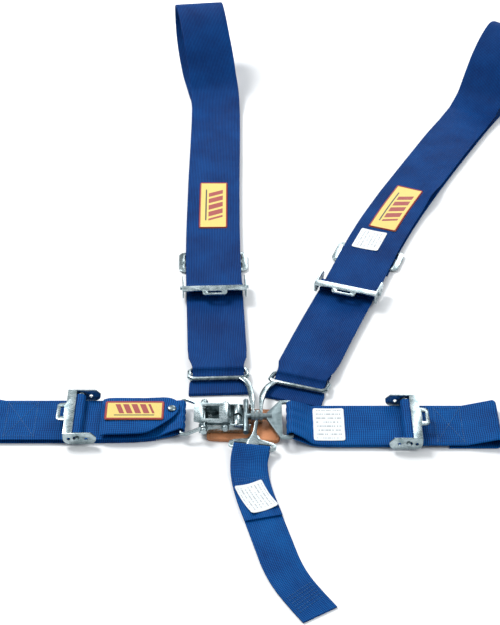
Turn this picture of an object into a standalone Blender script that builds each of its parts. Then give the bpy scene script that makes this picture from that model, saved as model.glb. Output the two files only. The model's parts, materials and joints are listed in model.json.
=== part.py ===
"""Five-point latch-and-link racing harness, laid out flat as it is stored.

World frame in metres: +Z up from the surface the harness lies on, +X towards the right lap belt,
+Y towards the shoulder belts. The origin is on that surface, under the buckle.
Each belt is built in its own frame: s runs outwards along the belt from the buckle, v across it
and z up, and a plan line carries (s, v) into the world.
"""

import math

import bmesh
import bpy
from mathutils import Matrix, Vector

# ---------------------------------------------------------------- driving dimensions
GAP = 0.0003                # clearance between touching pieces
WEB_T = 0.002               # webbing thickness
LAP_W = 0.0762              # three-inch webbing of the lap belts
SHOULDER_W = 0.0762         # three-inch webbing of the shoulder belts
CROTCH_W = 0.0445           # one-and-three-quarter-inch webbing of the crotch belt
LABEL_T = 0.0006            # woven labels and patches
PLATE_T = 0.002             # stamped sheet steel
FOLD_STEPS = 8              # facets round a webbing fold

LEFT_LAP_Y = 0.013          # centre lines of the lap belts
RIGHT_LAP_Y = 0.003
LEFT_LAP_REACH = 0.345      # far fold of each lap belt, from the buckle
RIGHT_LAP_REACH = 0.303
LAP_LOOP_R = 0.006          # inner radius of the wrap loop at the far fold
LEFT_LAP_TAIL_S = 0.030     # where the under layer ends
RIGHT_LAP_TAIL_S = 0.190

SHOULDER_TOP = 0.108        # height of the top loop

ADJ_SIDE_PLAY = 0.006       # webbing to flanges, both sides together
ADJ_FLANGE_L = 0.040
ADJ_FLANGE_H = 0.0163
ADJ_BRIDGE_L = 0.011
ADJ_TAB_L = 0.0105
ADJ_TAB_W = 0.034
ADJ_BAR_R = 0.0026          # sliding lock bar
ADJ_ROLL_GAP = 0.0006       # between the lock bar and the webbing round it
BAR_FOLD_GAP = 0.0009       # between a buckle bar and the webbing folded round it
ADJ_BAR_PLAY = 0.002        # travel of the lock bar in its slots, away from the fold

SLIDE_L = 0.046             # three-bar slide behind each shoulder belt
SLIDE_RIM = 0.0188          # how much wider than its webbing, both sides together
SLIDE_BAR = 0.007
SLIDE_SLOT_PLAY = 0.0033    # webbing to the slot ends, both sides together

PAD_L = 0.090               # leather pad behind the buckle
PAD_W = 0.062
PAD_T = 0.005

BUCKLE_Y = 0.009            # centre line of the buckle
TONGUE_R = 0.004            # tongue of the link, which the shoulder and crotch fittings hang on
TONGUE_Z = 0.0145
EYE_CLEAR = 0.0006          # radial clearance of a fitting on the tongue
EYE_WALL = 0.0036
EYE_T = 0.0042
EYE_PITCH = 0.0049
EYE_FIRST_X = 0.0035
TBAR_X = -0.005
TBAR_R = 0.0032
TBAR_L = 0.062

LATCH_LEFT_X = -0.062
LATCH_RIGHT_X = -0.013
LATCH_W = 0.042             # outside width of the latch base
LATCH_H = 0.0125
STRAP_PIN_X = -0.056
LEVER_PIN_X = -0.030
PIN_R = 0.0028
PIN_HEAD_R = 0.0045
PIN_HEAD_T = 0.004
RUNNING = 0.0003            # radial clearance of a piece that turns on a pin
STRAP_BAR_X = -0.084
WIRE_R = 0.0024
FITTING_R = 0.0031

LINK_APEX_X = 0.0205
LINK_BAR_X = 0.050
LINK_BAR_L = 0.005
LINK_SLOT_L = 0.0085
LINK_T = 0.003
LINK_SLOT_PLAY = 0.0020     # gathered webbing to the slot ends, both sides together
LINK_RIM = 0.0045           # steel beside the slot at each end
GATHER = 0.80               # webbing is gathered to this share of its width on a buckle bar

CROTCH_S = 0.284            # length of the crotch belt from its fitting
CROTCH_BAR_BACK = 0.00675   # from the crotch plate's own origin to the middle of its bar
CROTCH_FOLD_R = 0.0038

LEFT_ADJ_S = 0.130          # where each adjuster sits along its belt
RIGHT_ADJ_S = 0.146
LEFT_SHOULDER_ADJ_S = 0.194
RIGHT_SHOULDER_ADJ_S = 0.222
SHOULDER_BAR_S = 0.028      # upper bar of the shoulder fitting, under the webbing
SHOULDER_LOW_BAR_S = 0.006  # lower bar, on top of the webbing's tail
SHOULDER_TAIL_S = -0.018    # fold at the end of the tail
SLIDE_S = {"left": 0.279, "right": 0.327}             # middle of each three-bar slide
SHOULDER_RISE = {"left": (0.712, 1.0), "right": (0.774, 0.70)}  # start of the rise, and its stretch
WIRE_EYE_T = 0.0045         # eyes of the strap wire, along the pin

BLUE = (0.010, 0.052, 0.185)
STEEL = (0.62, 0.65, 0.65)
TAN = (0.45, 0.19, 0.075)
YELLOW = (0.75, 0.56, 0.06)
WHITE = (0.78, 0.80, 0.82)


# ---------------------------------------------------------------- scene and materials
def clear_scene():
    for obj in list(bpy.data.objects):
        bpy.data.objects.remove(obj)
    for name in ("racing_harness", "cutters"):
        bpy.context.scene.collection.children.link(bpy.data.collections.new(name))
    bpy.data.collections["cutters"].hide_render = True


def make_material(name, color, roughness, metallic):
    material = bpy.data.materials.new(name)
    material.use_nodes = True
    shader = material.node_tree.nodes["Principled BSDF"]
    shader.inputs["Base Color"].default_value = (*color, 1.0)
    shader.inputs["Roughness"].default_value = roughness
    shader.inputs["Metallic"].default_value = metallic
    return material


def add_object(name, mesh, material, collection="racing_harness"):
    obj = bpy.data.objects.new(name, mesh)
    bpy.data.collections[collection].objects.link(obj)
    if material:
        mesh.materials.append(material)
    return obj


def finish_mesh(name, bm, material, collection="racing_harness"):
    mesh = bpy.data.meshes.new(name)
    bmesh.ops.recalc_face_normals(bm, faces=bm.faces)
    bm.to_mesh(mesh)
    bm.free()
    return add_object(name, mesh, material, collection)


def curve_to_mesh(obj):
    """Swap a filled or bevelled curve object for the same shape as a welded mesh."""
    bpy.context.view_layer.update()
    graph = bpy.context.evaluated_depsgraph_get()
    mesh = bpy.data.meshes.new_from_object(obj.evaluated_get(graph))
    bm = bmesh.new()
    bm.from_mesh(mesh)
    bmesh.ops.remove_doubles(bm, verts=bm.verts, dist=1e-6)
    bm.to_mesh(mesh)
    bm.free()
    name, matrix, home = obj.name, obj.matrix_world.copy(), obj.users_collection[0]
    curve = obj.data
    bpy.data.objects.remove(obj)
    bpy.data.curves.remove(curve)
    solid = bpy.data.objects.new(name, mesh)
    home.objects.link(solid)
    solid.matrix_world = matrix
    return solid


# ---------------------------------------------------------------- shape tools
def plate(name, outline, thickness, material, holes=(), collection="racing_harness"):
    """A flat outline with holes, as a 2D curve filled and extruded about its own XY plane."""
    curve = bpy.data.curves.new(name, "CURVE")
    curve.dimensions = "2D"
    curve.fill_mode = "BOTH"
    curve.extrude = thickness / 2
    for loop in (outline, *holes):
        spline = curve.splines.new("POLY")
        spline.points.add(len(loop) - 1)
        for point, (x, y) in zip(spline.points, loop):
            point.co = (x, y, 0.0, 1.0)
        spline.use_cyclic_u = True
    if material:
        curve.materials.append(material)
    obj = bpy.data.objects.new(name, curve)
    bpy.data.collections[collection].objects.link(obj)
    return obj


def rod(name, points, radius, material, cyclic=False, collection="racing_harness", sides=2):
    curve = bpy.data.curves.new(name, "CURVE")
    curve.dimensions = "3D"
    curve.bevel_depth = radius
    curve.bevel_resolution = sides
    curve.use_fill_caps = not cyclic
    spline = curve.splines.new("POLY")
    spline.points.add(len(points) - 1)
    for point, co in zip(spline.points, points):
        point.co = (*co, 1.0)
    spline.use_cyclic_u = cyclic
    if material:
        curve.materials.append(material)
    obj = bpy.data.objects.new(name, curve)
    bpy.data.collections[collection].objects.link(obj)
    return obj


def cylinder(name, radius, length, material, collection="racing_harness", segments=20):
    bm = bmesh.new()
    bmesh.ops.create_cone(bm, cap_ends=True, segments=segments, radius1=radius,
                          radius2=radius, depth=length)
    return finish_mesh(name, bm, material, collection)


def box(name, low, high, material=None, collection="racing_harness"):
    bm = bmesh.new()
    bmesh.ops.create_cube(bm, size=1.0)
    size = Vector(high) - Vector(low)
    middle = (Vector(high) + Vector(low)) / 2
    bmesh.ops.transform(bm, matrix=Matrix.Translation(middle) @ Matrix.Diagonal((*size, 1.0)),
                        verts=bm.verts)
    return finish_mesh(name, bm, material, collection)


def turned(name, profile, material, steps=20):
    """A shape turned about Z from (radius, height) points that run down its outer side."""
    bm = bmesh.new()
    verts = [bm.verts.new((radius, 0.0, height)) for radius, height in profile]
    for first, second in zip(verts, verts[1:]):
        bm.edges.new((first, second))
    mesh = bpy.data.meshes.new(name)
    bm.to_mesh(mesh)
    bm.free()
    obj = add_object(name, mesh, material)
    screw = obj.modifiers.new("turn", "SCREW")
    screw.steps = steps
    screw.render_steps = steps
    screw.use_merge_vertices = True
    screw.merge_threshold = 1e-5
    return obj


def boolean(obj, other, operation):
    modifier = obj.modifiers.new(operation.lower(), "BOOLEAN")
    modifier.operation = operation
    modifier.object = other
    modifier.solver = "EXACT"
    other.hide_render = True
    other.display_type = "WIRE"


def bake(obj):
    """Apply an object's modifiers, so that it can be copied or combined again."""
    bpy.context.view_layer.update()
    graph = bpy.context.evaluated_depsgraph_get()
    mesh = bpy.data.meshes.new_from_object(obj.evaluated_get(graph))
    obj.modifiers.clear()
    obj.data = mesh
    return obj


def rounded_rectangle(length, width, radius, steps=4, middle=(0.0, 0.0)):
    points = []
    for quarter in range(4):
        sign_x = (1, -1, -1, 1)[quarter]
        sign_y = (1, 1, -1, -1)[quarter]
        for step in range(steps + 1):
            angle = math.pi / 2 * (quarter + step / steps)
            points.append((middle[0] + sign_x * (length / 2 - radius) + radius * math.cos(angle),
                           middle[1] + sign_y * (width / 2 - radius) + radius * math.sin(angle)))
    return points


def circle(radius, middle=(0.0, 0.0), steps=16):
    return [(middle[0] + radius * math.cos(2 * math.pi * step / steps),
             middle[1] + radius * math.sin(2 * math.pi * step / steps)) for step in range(steps)]


def smooth(points, steps):
    """Points along a Catmull-Rom curve through the given ones."""
    points = [Vector(point) for point in points]
    ends = [2 * points[0] - points[1], *points, 2 * points[-1] - points[-2]]
    curve = []
    for index in range(1, len(ends) - 2):
        a, b, c, d = ends[index - 1:index + 3]
        for step in range(steps):
            t = step / steps
            curve.append(0.5 * (2 * b + (c - a) * t + (2 * a - 5 * b + 4 * c - d) * t ** 2
                                + (3 * b - a - 3 * c + d) * t ** 3))
    curve.append(points[-1])
    return curve


def arc(middle, radius, start, end, steps=FOLD_STEPS):
    """Points (s, z) on an arc from one angle in degrees to another."""
    angles = [math.radians(start + (end - start) * step / steps) for step in range(steps + 1)]
    return [(middle[0] + radius * math.cos(angle), middle[1] + radius * math.sin(angle))
            for angle in angles]


class PlanLine:
    """The centre line of a belt on the ground plan, measured by its length s from the buckle."""

    def __init__(self, points):
        self.points = [Vector(point) for point in points]
        self.lengths = [0.0]
        for first, second in zip(self.points, self.points[1:]):
            self.lengths.append(self.lengths[-1] + (second - first).length)

    def at(self, s):
        """The point at s and the belt's direction there."""
        index = 0
        while index < len(self.points) - 2 and s > self.lengths[index + 1]:
            index += 1
        start, end = self.points[index], self.points[index + 1]
        direction = (end - start).normalized()
        return start + direction * (s - self.lengths[index]), direction

    def place(self, s, v, z):
        point, direction = self.at(s)
        across = Vector((direction.y, -direction.x))
        return Vector((*(point + across * v), z))

    def matrix(self, s, z=0.0):
        """A frame whose X runs outwards along the belt, and Z up."""
        point, direction = self.at(s)
        turn = Matrix.Rotation(math.atan2(direction.y, direction.x), 4, "Z")
        return Matrix.Translation((*point, z)) @ turn


def strap(name, line, profile, width, material, shift=0.0, thickness=WEB_T):
    """Webbing along a plan line: (s, z) or (s, z, share of width) points, thickened by Solidify."""
    bm = bmesh.new()
    bmesh.ops.create_grid(bm, x_segments=len(profile) - 1, y_segments=1, size=0.5)
    bm.verts.ensure_lookup_table()
    for vert in bm.verts:
        index = round((vert.co.x + 0.5) * (len(profile) - 1))
        s, z, *share = profile[index]
        side = width * (share[0] if share else 1.0) * vert.co.y
        vert.co = line.place(s, side + shift, z)
    mesh = bpy.data.meshes.new(name)
    bm.to_mesh(mesh)
    bm.free()
    obj = add_object(name, mesh, material)
    solidify = obj.modifiers.new("webbing", "SOLIDIFY")
    solidify.thickness = thickness
    solidify.offset = 0.0
    solidify.use_even_offset = True
    return obj


# ---------------------------------------------------------------- belts
def layer_z(layer):
    """Middle height of a webbing layer, counted from the bottom one."""
    return WEB_T / 2 + layer * (WEB_T + GAP)


LAP_TOP = layer_z(2) + WEB_T / 2
SLIDE_Z = layer_z(0) + WEB_T / 2 + GAP + PLATE_T / 2
SLIDE_WRAP_Z = SLIDE_Z + PLATE_T / 2 + GAP + WEB_T / 2
SHOULDER_FRONT_Z = SLIDE_WRAP_Z + WEB_T + GAP         # front layer, over the three-bar slide
SHOULDER_TOP_FACE = SHOULDER_FRONT_Z + WEB_T / 2
SHOULDER_FOLD_R = FITTING_R + BAR_FOLD_GAP + WEB_T / 2
SHOULDER_BAR_Z = layer_z(0) + WEB_T / 2 + GAP + FITTING_R
SHOULDER_LOW_BAR_Z = layer_z(1) + WEB_T / 2 + GAP + FITTING_R + 0.0002
TOP_LOOP = [(0.0, SHOULDER_FRONT_Z + 0.0021), (0.040, 0.022), (0.070, 0.045), (0.100, 0.072),
            (0.130, 0.094), (0.155, SHOULDER_TOP - 0.002), (0.175, SHOULDER_TOP),
            (0.195, SHOULDER_TOP - 0.008), (0.203, 0.080), (0.190, 0.055), (0.160, 0.030),
            (0.120, 0.010), (0.085, 0.0022), (0.060, layer_z(0))]
LEFT_LAP = PlanLine([(STRAP_BAR_X, LEFT_LAP_Y), (-1.0, LEFT_LAP_Y)])
RIGHT_LAP = PlanLine([(LINK_BAR_X, RIGHT_LAP_Y), (1.0, RIGHT_LAP_Y)])
LEFT_SHOULDER = PlanLine(smooth([(-0.0395, 0.088), (-0.0455, 0.230), (-0.0515, 0.380),
                                 (-0.0535, 0.550), (-0.0545, 0.800), (-0.0620, 0.870),
                                 (-0.0740, 0.925), (-0.0850, 0.985), (-0.0910, 1.050)], 6))
RIGHT_SHOULDER = PlanLine(smooth([(0.057, 0.072), (0.099, 0.195), (0.139, 0.305), (0.183, 0.430),
                                  (0.2385, 0.5585), (0.321, 0.7265), (0.378, 0.831),
                                  (0.421, 0.888), (0.470, 0.950)], 6))
CROTCH = PlanLine(smooth([(0.002, -0.044), (-0.001, -0.064), (0.000, -0.090), (0.006, -0.124),
                          (0.0145, -0.157), (0.025, -0.198), (0.035, -0.236), (0.046, -0.264),
                          (0.060, -0.289), (0.076, -0.3145)], 6))


def bar_loop(middle_z, low_z, radius, tail_s, turn_s):
    """Top layer, turn round a buckle bar at s = 0, and lower layer out to its sewn end."""
    top_z = LAP_TOP - WEB_T / 2
    points = [(tail_s, top_z), (turn_s, top_z), (turn_s * 0.6, (top_z + middle_z) / 2 + 0.003, 0.9)]
    points += [(s, z, GATHER) for s, z in arc((0.0, middle_z), radius, 75, 285)]
    points += [(turn_s * 0.6, (low_z + middle_z) / 2 - 0.003, 0.9), (turn_s, low_z), (tail_s, low_z)]
    return points


def lap_belt(side, line, reach, bar_z, bar_radius, adjuster_s, tail_s):
    """The inner strap sewn to the buckle and the outer strap that wraps round the chassis."""
    blue = bpy.data.materials["webbing"]
    top_z = layer_z(2)
    radius = bar_radius + BAR_FOLD_GAP + WEB_T / 2
    strap(side + "_lap_inner_strap", line,
          bar_loop(bar_z, layer_z(1), radius, adjuster_s - GAP / 2, 0.025), LAP_W, blue)
    loop_radius = LAP_LOOP_R + WEB_T / 2
    end_s = reach - loop_radius
    outer = [(adjuster_s + GAP / 2, top_z), (end_s - 0.035, top_z)]
    outer += arc((end_s, loop_radius + WEB_T / 2), loop_radius, 70, -90)
    outer += [(end_s - 0.030, layer_z(0)), (tail_s, layer_z(0))]
    strap(side + "_lap_outer_strap", line, outer, LAP_W, blue)


def shoulder_belt(side, line, split_s):
    """Lower strap through the fitting, upper strap with its top loop, and the rear layer."""
    blue = bpy.data.materials["webbing"]
    lower = [(split_s - GAP / 2, SHOULDER_FRONT_Z), (SHOULDER_BAR_S + 0.040, SHOULDER_FRONT_Z),
             (SHOULDER_BAR_S + 0.013, SHOULDER_BAR_Z + SHOULDER_FOLD_R)]
    lower += [(s, z, GATHER) for s, z in
              arc((SHOULDER_BAR_S, SHOULDER_BAR_Z), SHOULDER_FOLD_R, 90, 150, 4)]
    lower += [(SHOULDER_LOW_BAR_S + 0.009, layer_z(1) + 0.0004, GATHER)]
    lower += [(s, z, GATHER) for s, z in
              arc((SHOULDER_TAIL_S, (layer_z(0) + layer_z(1)) / 2), (layer_z(1) - layer_z(0)) / 2,
                  90, 270, 6)]
    lower += [(SHOULDER_BAR_S + 0.020, layer_z(0), GATHER)]
    strap(side + "_shoulder_lower_strap", line, lower, SHOULDER_W, blue)
    rise, stretch = SHOULDER_RISE[side]
    hook_s = SLIDE_S[side]
    flat = rise - 0.040 - split_s
    front = [(split_s + GAP / 2 + flat * step / 8, SHOULDER_FRONT_Z) for step in range(9)]
    front += smooth([(rise + stretch * along, z) for along, z in TOP_LOOP], 3)
    back = rise - 0.030 - hook_s - SLIDE_L / 2
    front += [(rise - 0.024 - back * step / 8, layer_z(0)) for step in range(9)]
    front += slide_wrap(hook_s)
    strap(side + "_shoulder_upper_strap", line, [tuple(point) for point in front],
          SHOULDER_W, blue)


def slide_wrap(middle_s):
    """The rear layer goes up through a slot, over the middle bar and down again to its end."""
    half = SLIDE_BAR / 2 + GAP + WEB_T / 2 + 0.001
    return [(middle_s + half + 0.002, layer_z(0)), (middle_s + half, SLIDE_WRAP_Z),
            (middle_s - half, SLIDE_WRAP_Z), (middle_s - half - 0.002, layer_z(0)),
            (middle_s - SLIDE_L / 2 - 0.012, layer_z(0))]


def three_bar_slide(side, line):
    """Flat slide: two slots either side of a middle bar."""
    middle_s = SLIDE_S[side]
    slot_l = (SLIDE_L - 3 * SLIDE_BAR) / 2
    offset = (slot_l + SLIDE_BAR) / 2
    slots = [rounded_rectangle(slot_l, SHOULDER_W + SLIDE_SLOT_PLAY, 0.0015, 2, (sign * offset, 0.0))
             for sign in (-1, 1)]
    slide = plate(side + "_wrap_slide", rounded_rectangle(SLIDE_L, SHOULDER_W + SLIDE_RIM, 0.008),
                  PLATE_T, bpy.data.materials["zinc"], slots)
    slide.matrix_world = line.matrix(middle_s, SLIDE_Z)


# ---------------------------------------------------------------- adjusters
def adjuster(name, line, s, top_face, webbing_w, turn=0.0):
    """Stamped frame with two D flanges and a pull tab, a sliding lock bar, and webbing round it."""
    zinc = bpy.data.materials["zinc"]
    matrix = line.matrix(s, top_face) @ Matrix.Rotation(turn, 4, "Z")
    roll_radius = ADJ_BAR_R + ADJ_ROLL_GAP + WEB_T / 2
    bar_z = GAP + roll_radius + WEB_T / 2
    bar_s = -0.006
    bridge_z = bar_z + roll_radius + WEB_T / 2 + GAP
    inner = webbing_w + ADJ_SIDE_PLAY
    width = inner + 2 * PLATE_T

    frame = plate(name + "_frame", adjuster_outline(width), PLATE_T, zinc,
                  [rounded_rectangle(0.0045, 0.019, 0.001, 2, (ADJ_BRIDGE_L + 0.004, 0.0))])
    frame.location = (0.0, 0.0, bridge_z + PLATE_T / 2)
    frame = curve_to_mesh(frame)
    for sign in (-1, 1):
        flange = plate(name + "_flange", flange_outline(bridge_z + PLATE_T), PLATE_T, None,
                       [circle(0.0022, (-0.017, 0.0045), 10), circle(0.0022, (0.004, 0.0045), 10),
                        rounded_rectangle(2 * (ADJ_BAR_R + RUNNING) + ADJ_BAR_PLAY,
                                          2 * (ADJ_BAR_R + RUNNING), ADJ_BAR_R, 3,
                                          (bar_s + ADJ_BAR_PLAY / 2, bar_z))], "cutters")
        flange.matrix_world = (Matrix.Translation((0.0, sign * (inner + PLATE_T) / 2, 0.0))
                               @ Matrix.Rotation(math.pi / 2, 4, "X"))
        boolean(frame, curve_to_mesh(flange), "UNION")
    bake(frame)
    frame.matrix_world = matrix
    frame.data.transform(Matrix.Translation((0.0, 0.0, bridge_z + PLATE_T / 2)))

    bar = turned(name + "_lock_bar", [(0.0, width / 2 + 0.0035), (ADJ_BAR_R, width / 2 + 0.003),
                                      (ADJ_BAR_R, -width / 2 - 0.003),
                                      (0.0, -width / 2 - 0.0035)], zinc, 12)
    bar.matrix_world = (matrix @ Matrix.Translation((bar_s, 0.0, bar_z))
                        @ Matrix.Rotation(math.pi / 2, 4, "X"))
    roll = [(bar_s + 0.009, bar_z + roll_radius)]
    roll += arc((bar_s, bar_z), roll_radius, 90, 270)
    roll += [(bar_s + 0.009, bar_z - roll_radius)]
    local = PlanLine([(0.0, 0.0), (1.0, 0.0)])
    webbing = strap(name + "_roll", local, roll, webbing_w, bpy.data.materials["webbing"])
    webbing.matrix_world = matrix


def adjuster_outline(width):
    """The bridge across the belt, with the pull tab on its outer side."""
    half, tab = width / 2, ADJ_TAB_W / 2
    outer = ADJ_BRIDGE_L + ADJ_TAB_L
    return [(0.0, -half), (ADJ_BRIDGE_L, -half), (ADJ_BRIDGE_L, -tab), (outer - 0.003, -tab + 0.001),
            (outer, -tab + 0.004), (outer, tab - 0.004), (outer - 0.003, tab - 0.001),
            (ADJ_BRIDGE_L, tab), (ADJ_BRIDGE_L, half), (0.0, half)]


def flange_outline(top):
    """A D shape that stands on its round side: (s, z) from the top face of the webbing."""
    low = top - ADJ_FLANGE_H
    start, end = ADJ_BRIDGE_L - ADJ_FLANGE_L, ADJ_BRIDGE_L
    radius = 0.008
    points = [(end, top), (start + 0.006, top), (start, top - 0.006)]
    points += arc((start + radius, low + radius), radius, 180, 270, 4)
    points += arc((end - radius, low + radius), radius, 270, 360, 4)
    return points


# ---------------------------------------------------------------- buckle
def latch():
    zinc = bpy.data.materials["zinc"]
    floor_z = PAD_T + GAP
    half = LATCH_W / 2
    pin_z = TONGUE_Z
    base = box("latch_base", (LATCH_LEFT_X, BUCKLE_Y - half, floor_z),
               (LATCH_RIGHT_X + 0.014, BUCKLE_Y + half, floor_z + LATCH_H), zinc)
    inside = box("latch_inside", (LATCH_LEFT_X - 0.01, BUCKLE_Y - half + PLATE_T,
                                  floor_z + PLATE_T),
                 (LATCH_RIGHT_X + 0.03, BUCKLE_Y + half - PLATE_T, floor_z + 0.05), None,
                 "cutters")
    boolean(base, inside, "DIFFERENCE")
    for pin_x in (STRAP_PIN_X, LEVER_PIN_X):
        hole = cylinder("pin_hole", PIN_R + RUNNING, LATCH_W * 2, None, "cutters")
        hole.matrix_world = (Matrix.Translation((pin_x, BUCKLE_Y, pin_z))
                             @ Matrix.Rotation(math.pi / 2, 4, "X"))
        boolean(base, hole, "DIFFERENCE")
    notch = box("hook_notch", (TBAR_X - TBAR_R - RUNNING, BUCKLE_Y - LATCH_W,
                               TONGUE_Z - TBAR_R - RUNNING),
                (TBAR_X + TBAR_R + RUNNING, BUCKLE_Y + LATCH_W, 0.05), None, "cutters")
    boolean(base, notch, "DIFFERENCE")
    tongue_way = box("tongue_way", (TBAR_X + TBAR_R, BUCKLE_Y - 0.013, floor_z - 0.01),
                     (0.05, BUCKLE_Y + 0.013, 0.05), None, "cutters")
    boolean(base, tongue_way, "DIFFERENCE")

    for name, pin_x in (("strap_pin", STRAP_PIN_X), ("lever_pin", LEVER_PIN_X)):
        reach = half + GAP + (WIRE_EYE_T + 2 * GAP if name == "strap_pin" else 0.0)
        pin = turned(name, [(0.0, reach + PIN_HEAD_T), (PIN_HEAD_R * 0.8, reach + PIN_HEAD_T),
                            (PIN_HEAD_R, reach + PIN_HEAD_T * 0.7), (PIN_HEAD_R, reach),
                            (PIN_R, reach), (PIN_R, -reach), (PIN_HEAD_R, -reach),
                            (PIN_HEAD_R, -reach - PIN_HEAD_T * 0.7),
                            (PIN_HEAD_R * 0.8, -reach - PIN_HEAD_T),
                            (0.0, -reach - PIN_HEAD_T)], zinc)
        pin.matrix_world = (Matrix.Translation((pin_x, BUCKLE_Y, pin_z))
                            @ Matrix.Rotation(math.pi / 2, 4, "X"))
    lever()
    strap_wire()
    catch_roll(floor_z + PLATE_T + GAP)


def catch_roll(low):
    """Two curls rolled from one strip, which keep the T-bar against its notch."""
    middle_x = LEVER_PIN_X + 0.0148
    radius = 0.0047
    profile = [(middle_x - radius - 0.0005, low + PLATE_T / 2), (middle_x - 0.002, low + PLATE_T / 2)]
    profile += arc((middle_x, low + PLATE_T / 2 + radius), radius, -90, 200, 12)
    line = PlanLine([(0.0, BUCKLE_Y), (1.0, BUCKLE_Y)])
    roll = strap("catch_roll", line, profile, LATCH_W - 2 * PLATE_T - 2 * GAP,
                 bpy.data.materials["zinc"], 0.0, 0.0016)
    gap = box("catch_gap", (middle_x - 0.0085, BUCKLE_Y - 0.002, low + 0.004),
              (middle_x + 0.0085, BUCKLE_Y + 0.002, low + 0.02), None, "cutters")
    boolean(roll, gap, "DIFFERENCE")


def lever():
    """A channel over the base: it turns on the lever pin and curls over the T-bar when shut."""
    zinc = bpy.data.materials["zinc"]
    half = LATCH_W / 2 - PLATE_T - 0.0006
    cheek_low = -0.0042
    top = 0.0062
    profile = [(LATCH_LEFT_X - 0.006 - LEVER_PIN_X, top + 0.0015),
               (LATCH_LEFT_X - LEVER_PIN_X, top)]
    profile += arc((0.0, 0.0), top, 90, 20, 6)
    sheet = strap("latch_lever", PlanLine([(0.0, 0.0), (1.0, 0.0)]), profile, 2 * half,
                  zinc, 0.0, 0.0018)
    for sign in (-1, 1):
        outline = [(-0.0215, top), (-0.0215, 0.002), (-0.008, cheek_low), (0.004, cheek_low),
                   (0.0058, 0.001), (0.0058, 0.0022), (0.003, 0.0054), (0.0, top)]
        cheek = plate("lever_cheek", outline, 0.0018, None,
                      [circle(PIN_R + RUNNING)], "cutters")
        cheek.matrix_world = (Matrix.Translation((0.0, sign * (half - 0.0009), 0.0))
                              @ Matrix.Rotation(math.pi / 2, 4, "X"))
        boolean(sheet, curve_to_mesh(cheek), "UNION")
    window = box("lever_window", (-0.027, -0.0125, 0.003), (-0.0075, 0.0125, 0.02), None, "cutters")
    boolean(sheet, window, "DIFFERENCE")
    bake(sheet)
    sheet.location = (LEVER_PIN_X, BUCKLE_Y, TONGUE_Z)


def strap_wire():
    """Wire frame on the strap pin, whose bar holds the left lap belt's sewn loop."""
    zinc = bpy.data.materials["zinc"]
    half = GATHER * LAP_W / 2 + 0.004
    eye_y = LATCH_W / 2 + GAP + WIRE_EYE_T / 2
    offset = LEFT_LAP_Y - BUCKLE_Y
    low = 0.004
    for_wire = [(STRAP_PIN_X - 0.0046, eye_y, 0.0), (STRAP_BAR_X + 0.006, half + offset - 0.001, -low),
                (STRAP_BAR_X + 0.001, half + offset - 0.0025, -low),
                (STRAP_BAR_X, half + offset - 0.006, -low),
                (STRAP_BAR_X, -half + offset + 0.006, -low),
                (STRAP_BAR_X + 0.001, -half + offset + 0.0025, -low),
                (STRAP_BAR_X + 0.006, -half + offset + 0.001, -low),
                (STRAP_PIN_X - 0.0046, -eye_y, 0.0)]
    points = [(x - STRAP_PIN_X, y, z) for x, y, z in for_wire]
    wire = curve_to_mesh(rod("strap_wire", points, WIRE_R, zinc))
    for sign in (-1, 1):
        eye = cylinder("wire_eye", PIN_R + RUNNING + 0.0022, WIRE_EYE_T, None, "cutters")
        eye.matrix_world = (Matrix.Translation((0.0, sign * eye_y, 0.0))
                            @ Matrix.Rotation(math.pi / 2, 4, "X"))
        boolean(wire, eye, "UNION")
    hole = cylinder("wire_eye_hole", PIN_R + RUNNING, LATCH_W * 3, None, "cutters")
    hole.matrix_world = Matrix.Rotation(math.pi / 2, 4, "X")
    boolean(wire, hole, "DIFFERENCE")
    bake(wire)
    wire.location = (STRAP_PIN_X, BUCKLE_Y, TONGUE_Z)


def link():
    """Triangular link: a slotted plate for the right lap belt, and a tongue with a T-bar."""
    zinc = bpy.data.materials["zinc"]
    base = LINK_BAR_X + LINK_BAR_L / 2
    slot_w = GATHER * LAP_W + LINK_SLOT_PLAY
    half = slot_w / 2 + LINK_RIM
    shift = RIGHT_LAP_Y - BUCKLE_Y
    shoulder_x = LINK_BAR_X - LINK_SLOT_L - 0.005
    outline = [(LINK_APEX_X, 0.006), (shoulder_x, half + shift), (base - 0.003, half + shift),
               (base, half + shift - 0.003), (base, -half + shift + 0.003),
               (base - 0.003, -half + shift), (shoulder_x, -half + shift), (LINK_APEX_X, -0.006)]
    slot = rounded_rectangle(LINK_SLOT_L, slot_w, 0.002, 2,
                             (LINK_BAR_X - (LINK_SLOT_L + LINK_BAR_L) / 2, shift))
    frame = plate("link_plate", outline, LINK_T, zinc, [slot])
    frame = curve_to_mesh(frame)
    tongue = cylinder("tongue", TONGUE_R, LINK_APEX_X - TBAR_X + 0.006, None, "cutters")
    tongue.matrix_world = (Matrix.Translation(((LINK_APEX_X + TBAR_X + 0.006) / 2, 0.0, 0.0))
                           @ Matrix.Rotation(math.pi / 2, 4, "Y"))
    boolean(frame, tongue, "UNION")
    bar = cylinder("t_bar", TBAR_R, TBAR_L, None, "cutters")
    bar.matrix_world = (Matrix.Translation((TBAR_X, 0.0, 0.0))
                        @ Matrix.Rotation(math.pi / 2, 4, "X"))
    boolean(frame, bar, "UNION")
    bake(frame)
    frame.location = (0.0, BUCKLE_Y, TONGUE_Z)


def eye_x(index):
    return EYE_FIRST_X + index * EYE_PITCH


def eye(name, index):
    """The fitting's end that hangs on the tongue: a thick ring about the tongue's axis."""
    ring = cylinder(name, TONGUE_R + EYE_CLEAR + EYE_WALL, EYE_T, None, "cutters", 24)
    ring.matrix_world = (Matrix.Translation((eye_x(index), BUCKLE_Y, TONGUE_Z))
                         @ Matrix.Rotation(math.pi / 2, 4, "Y"))
    return ring


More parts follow.
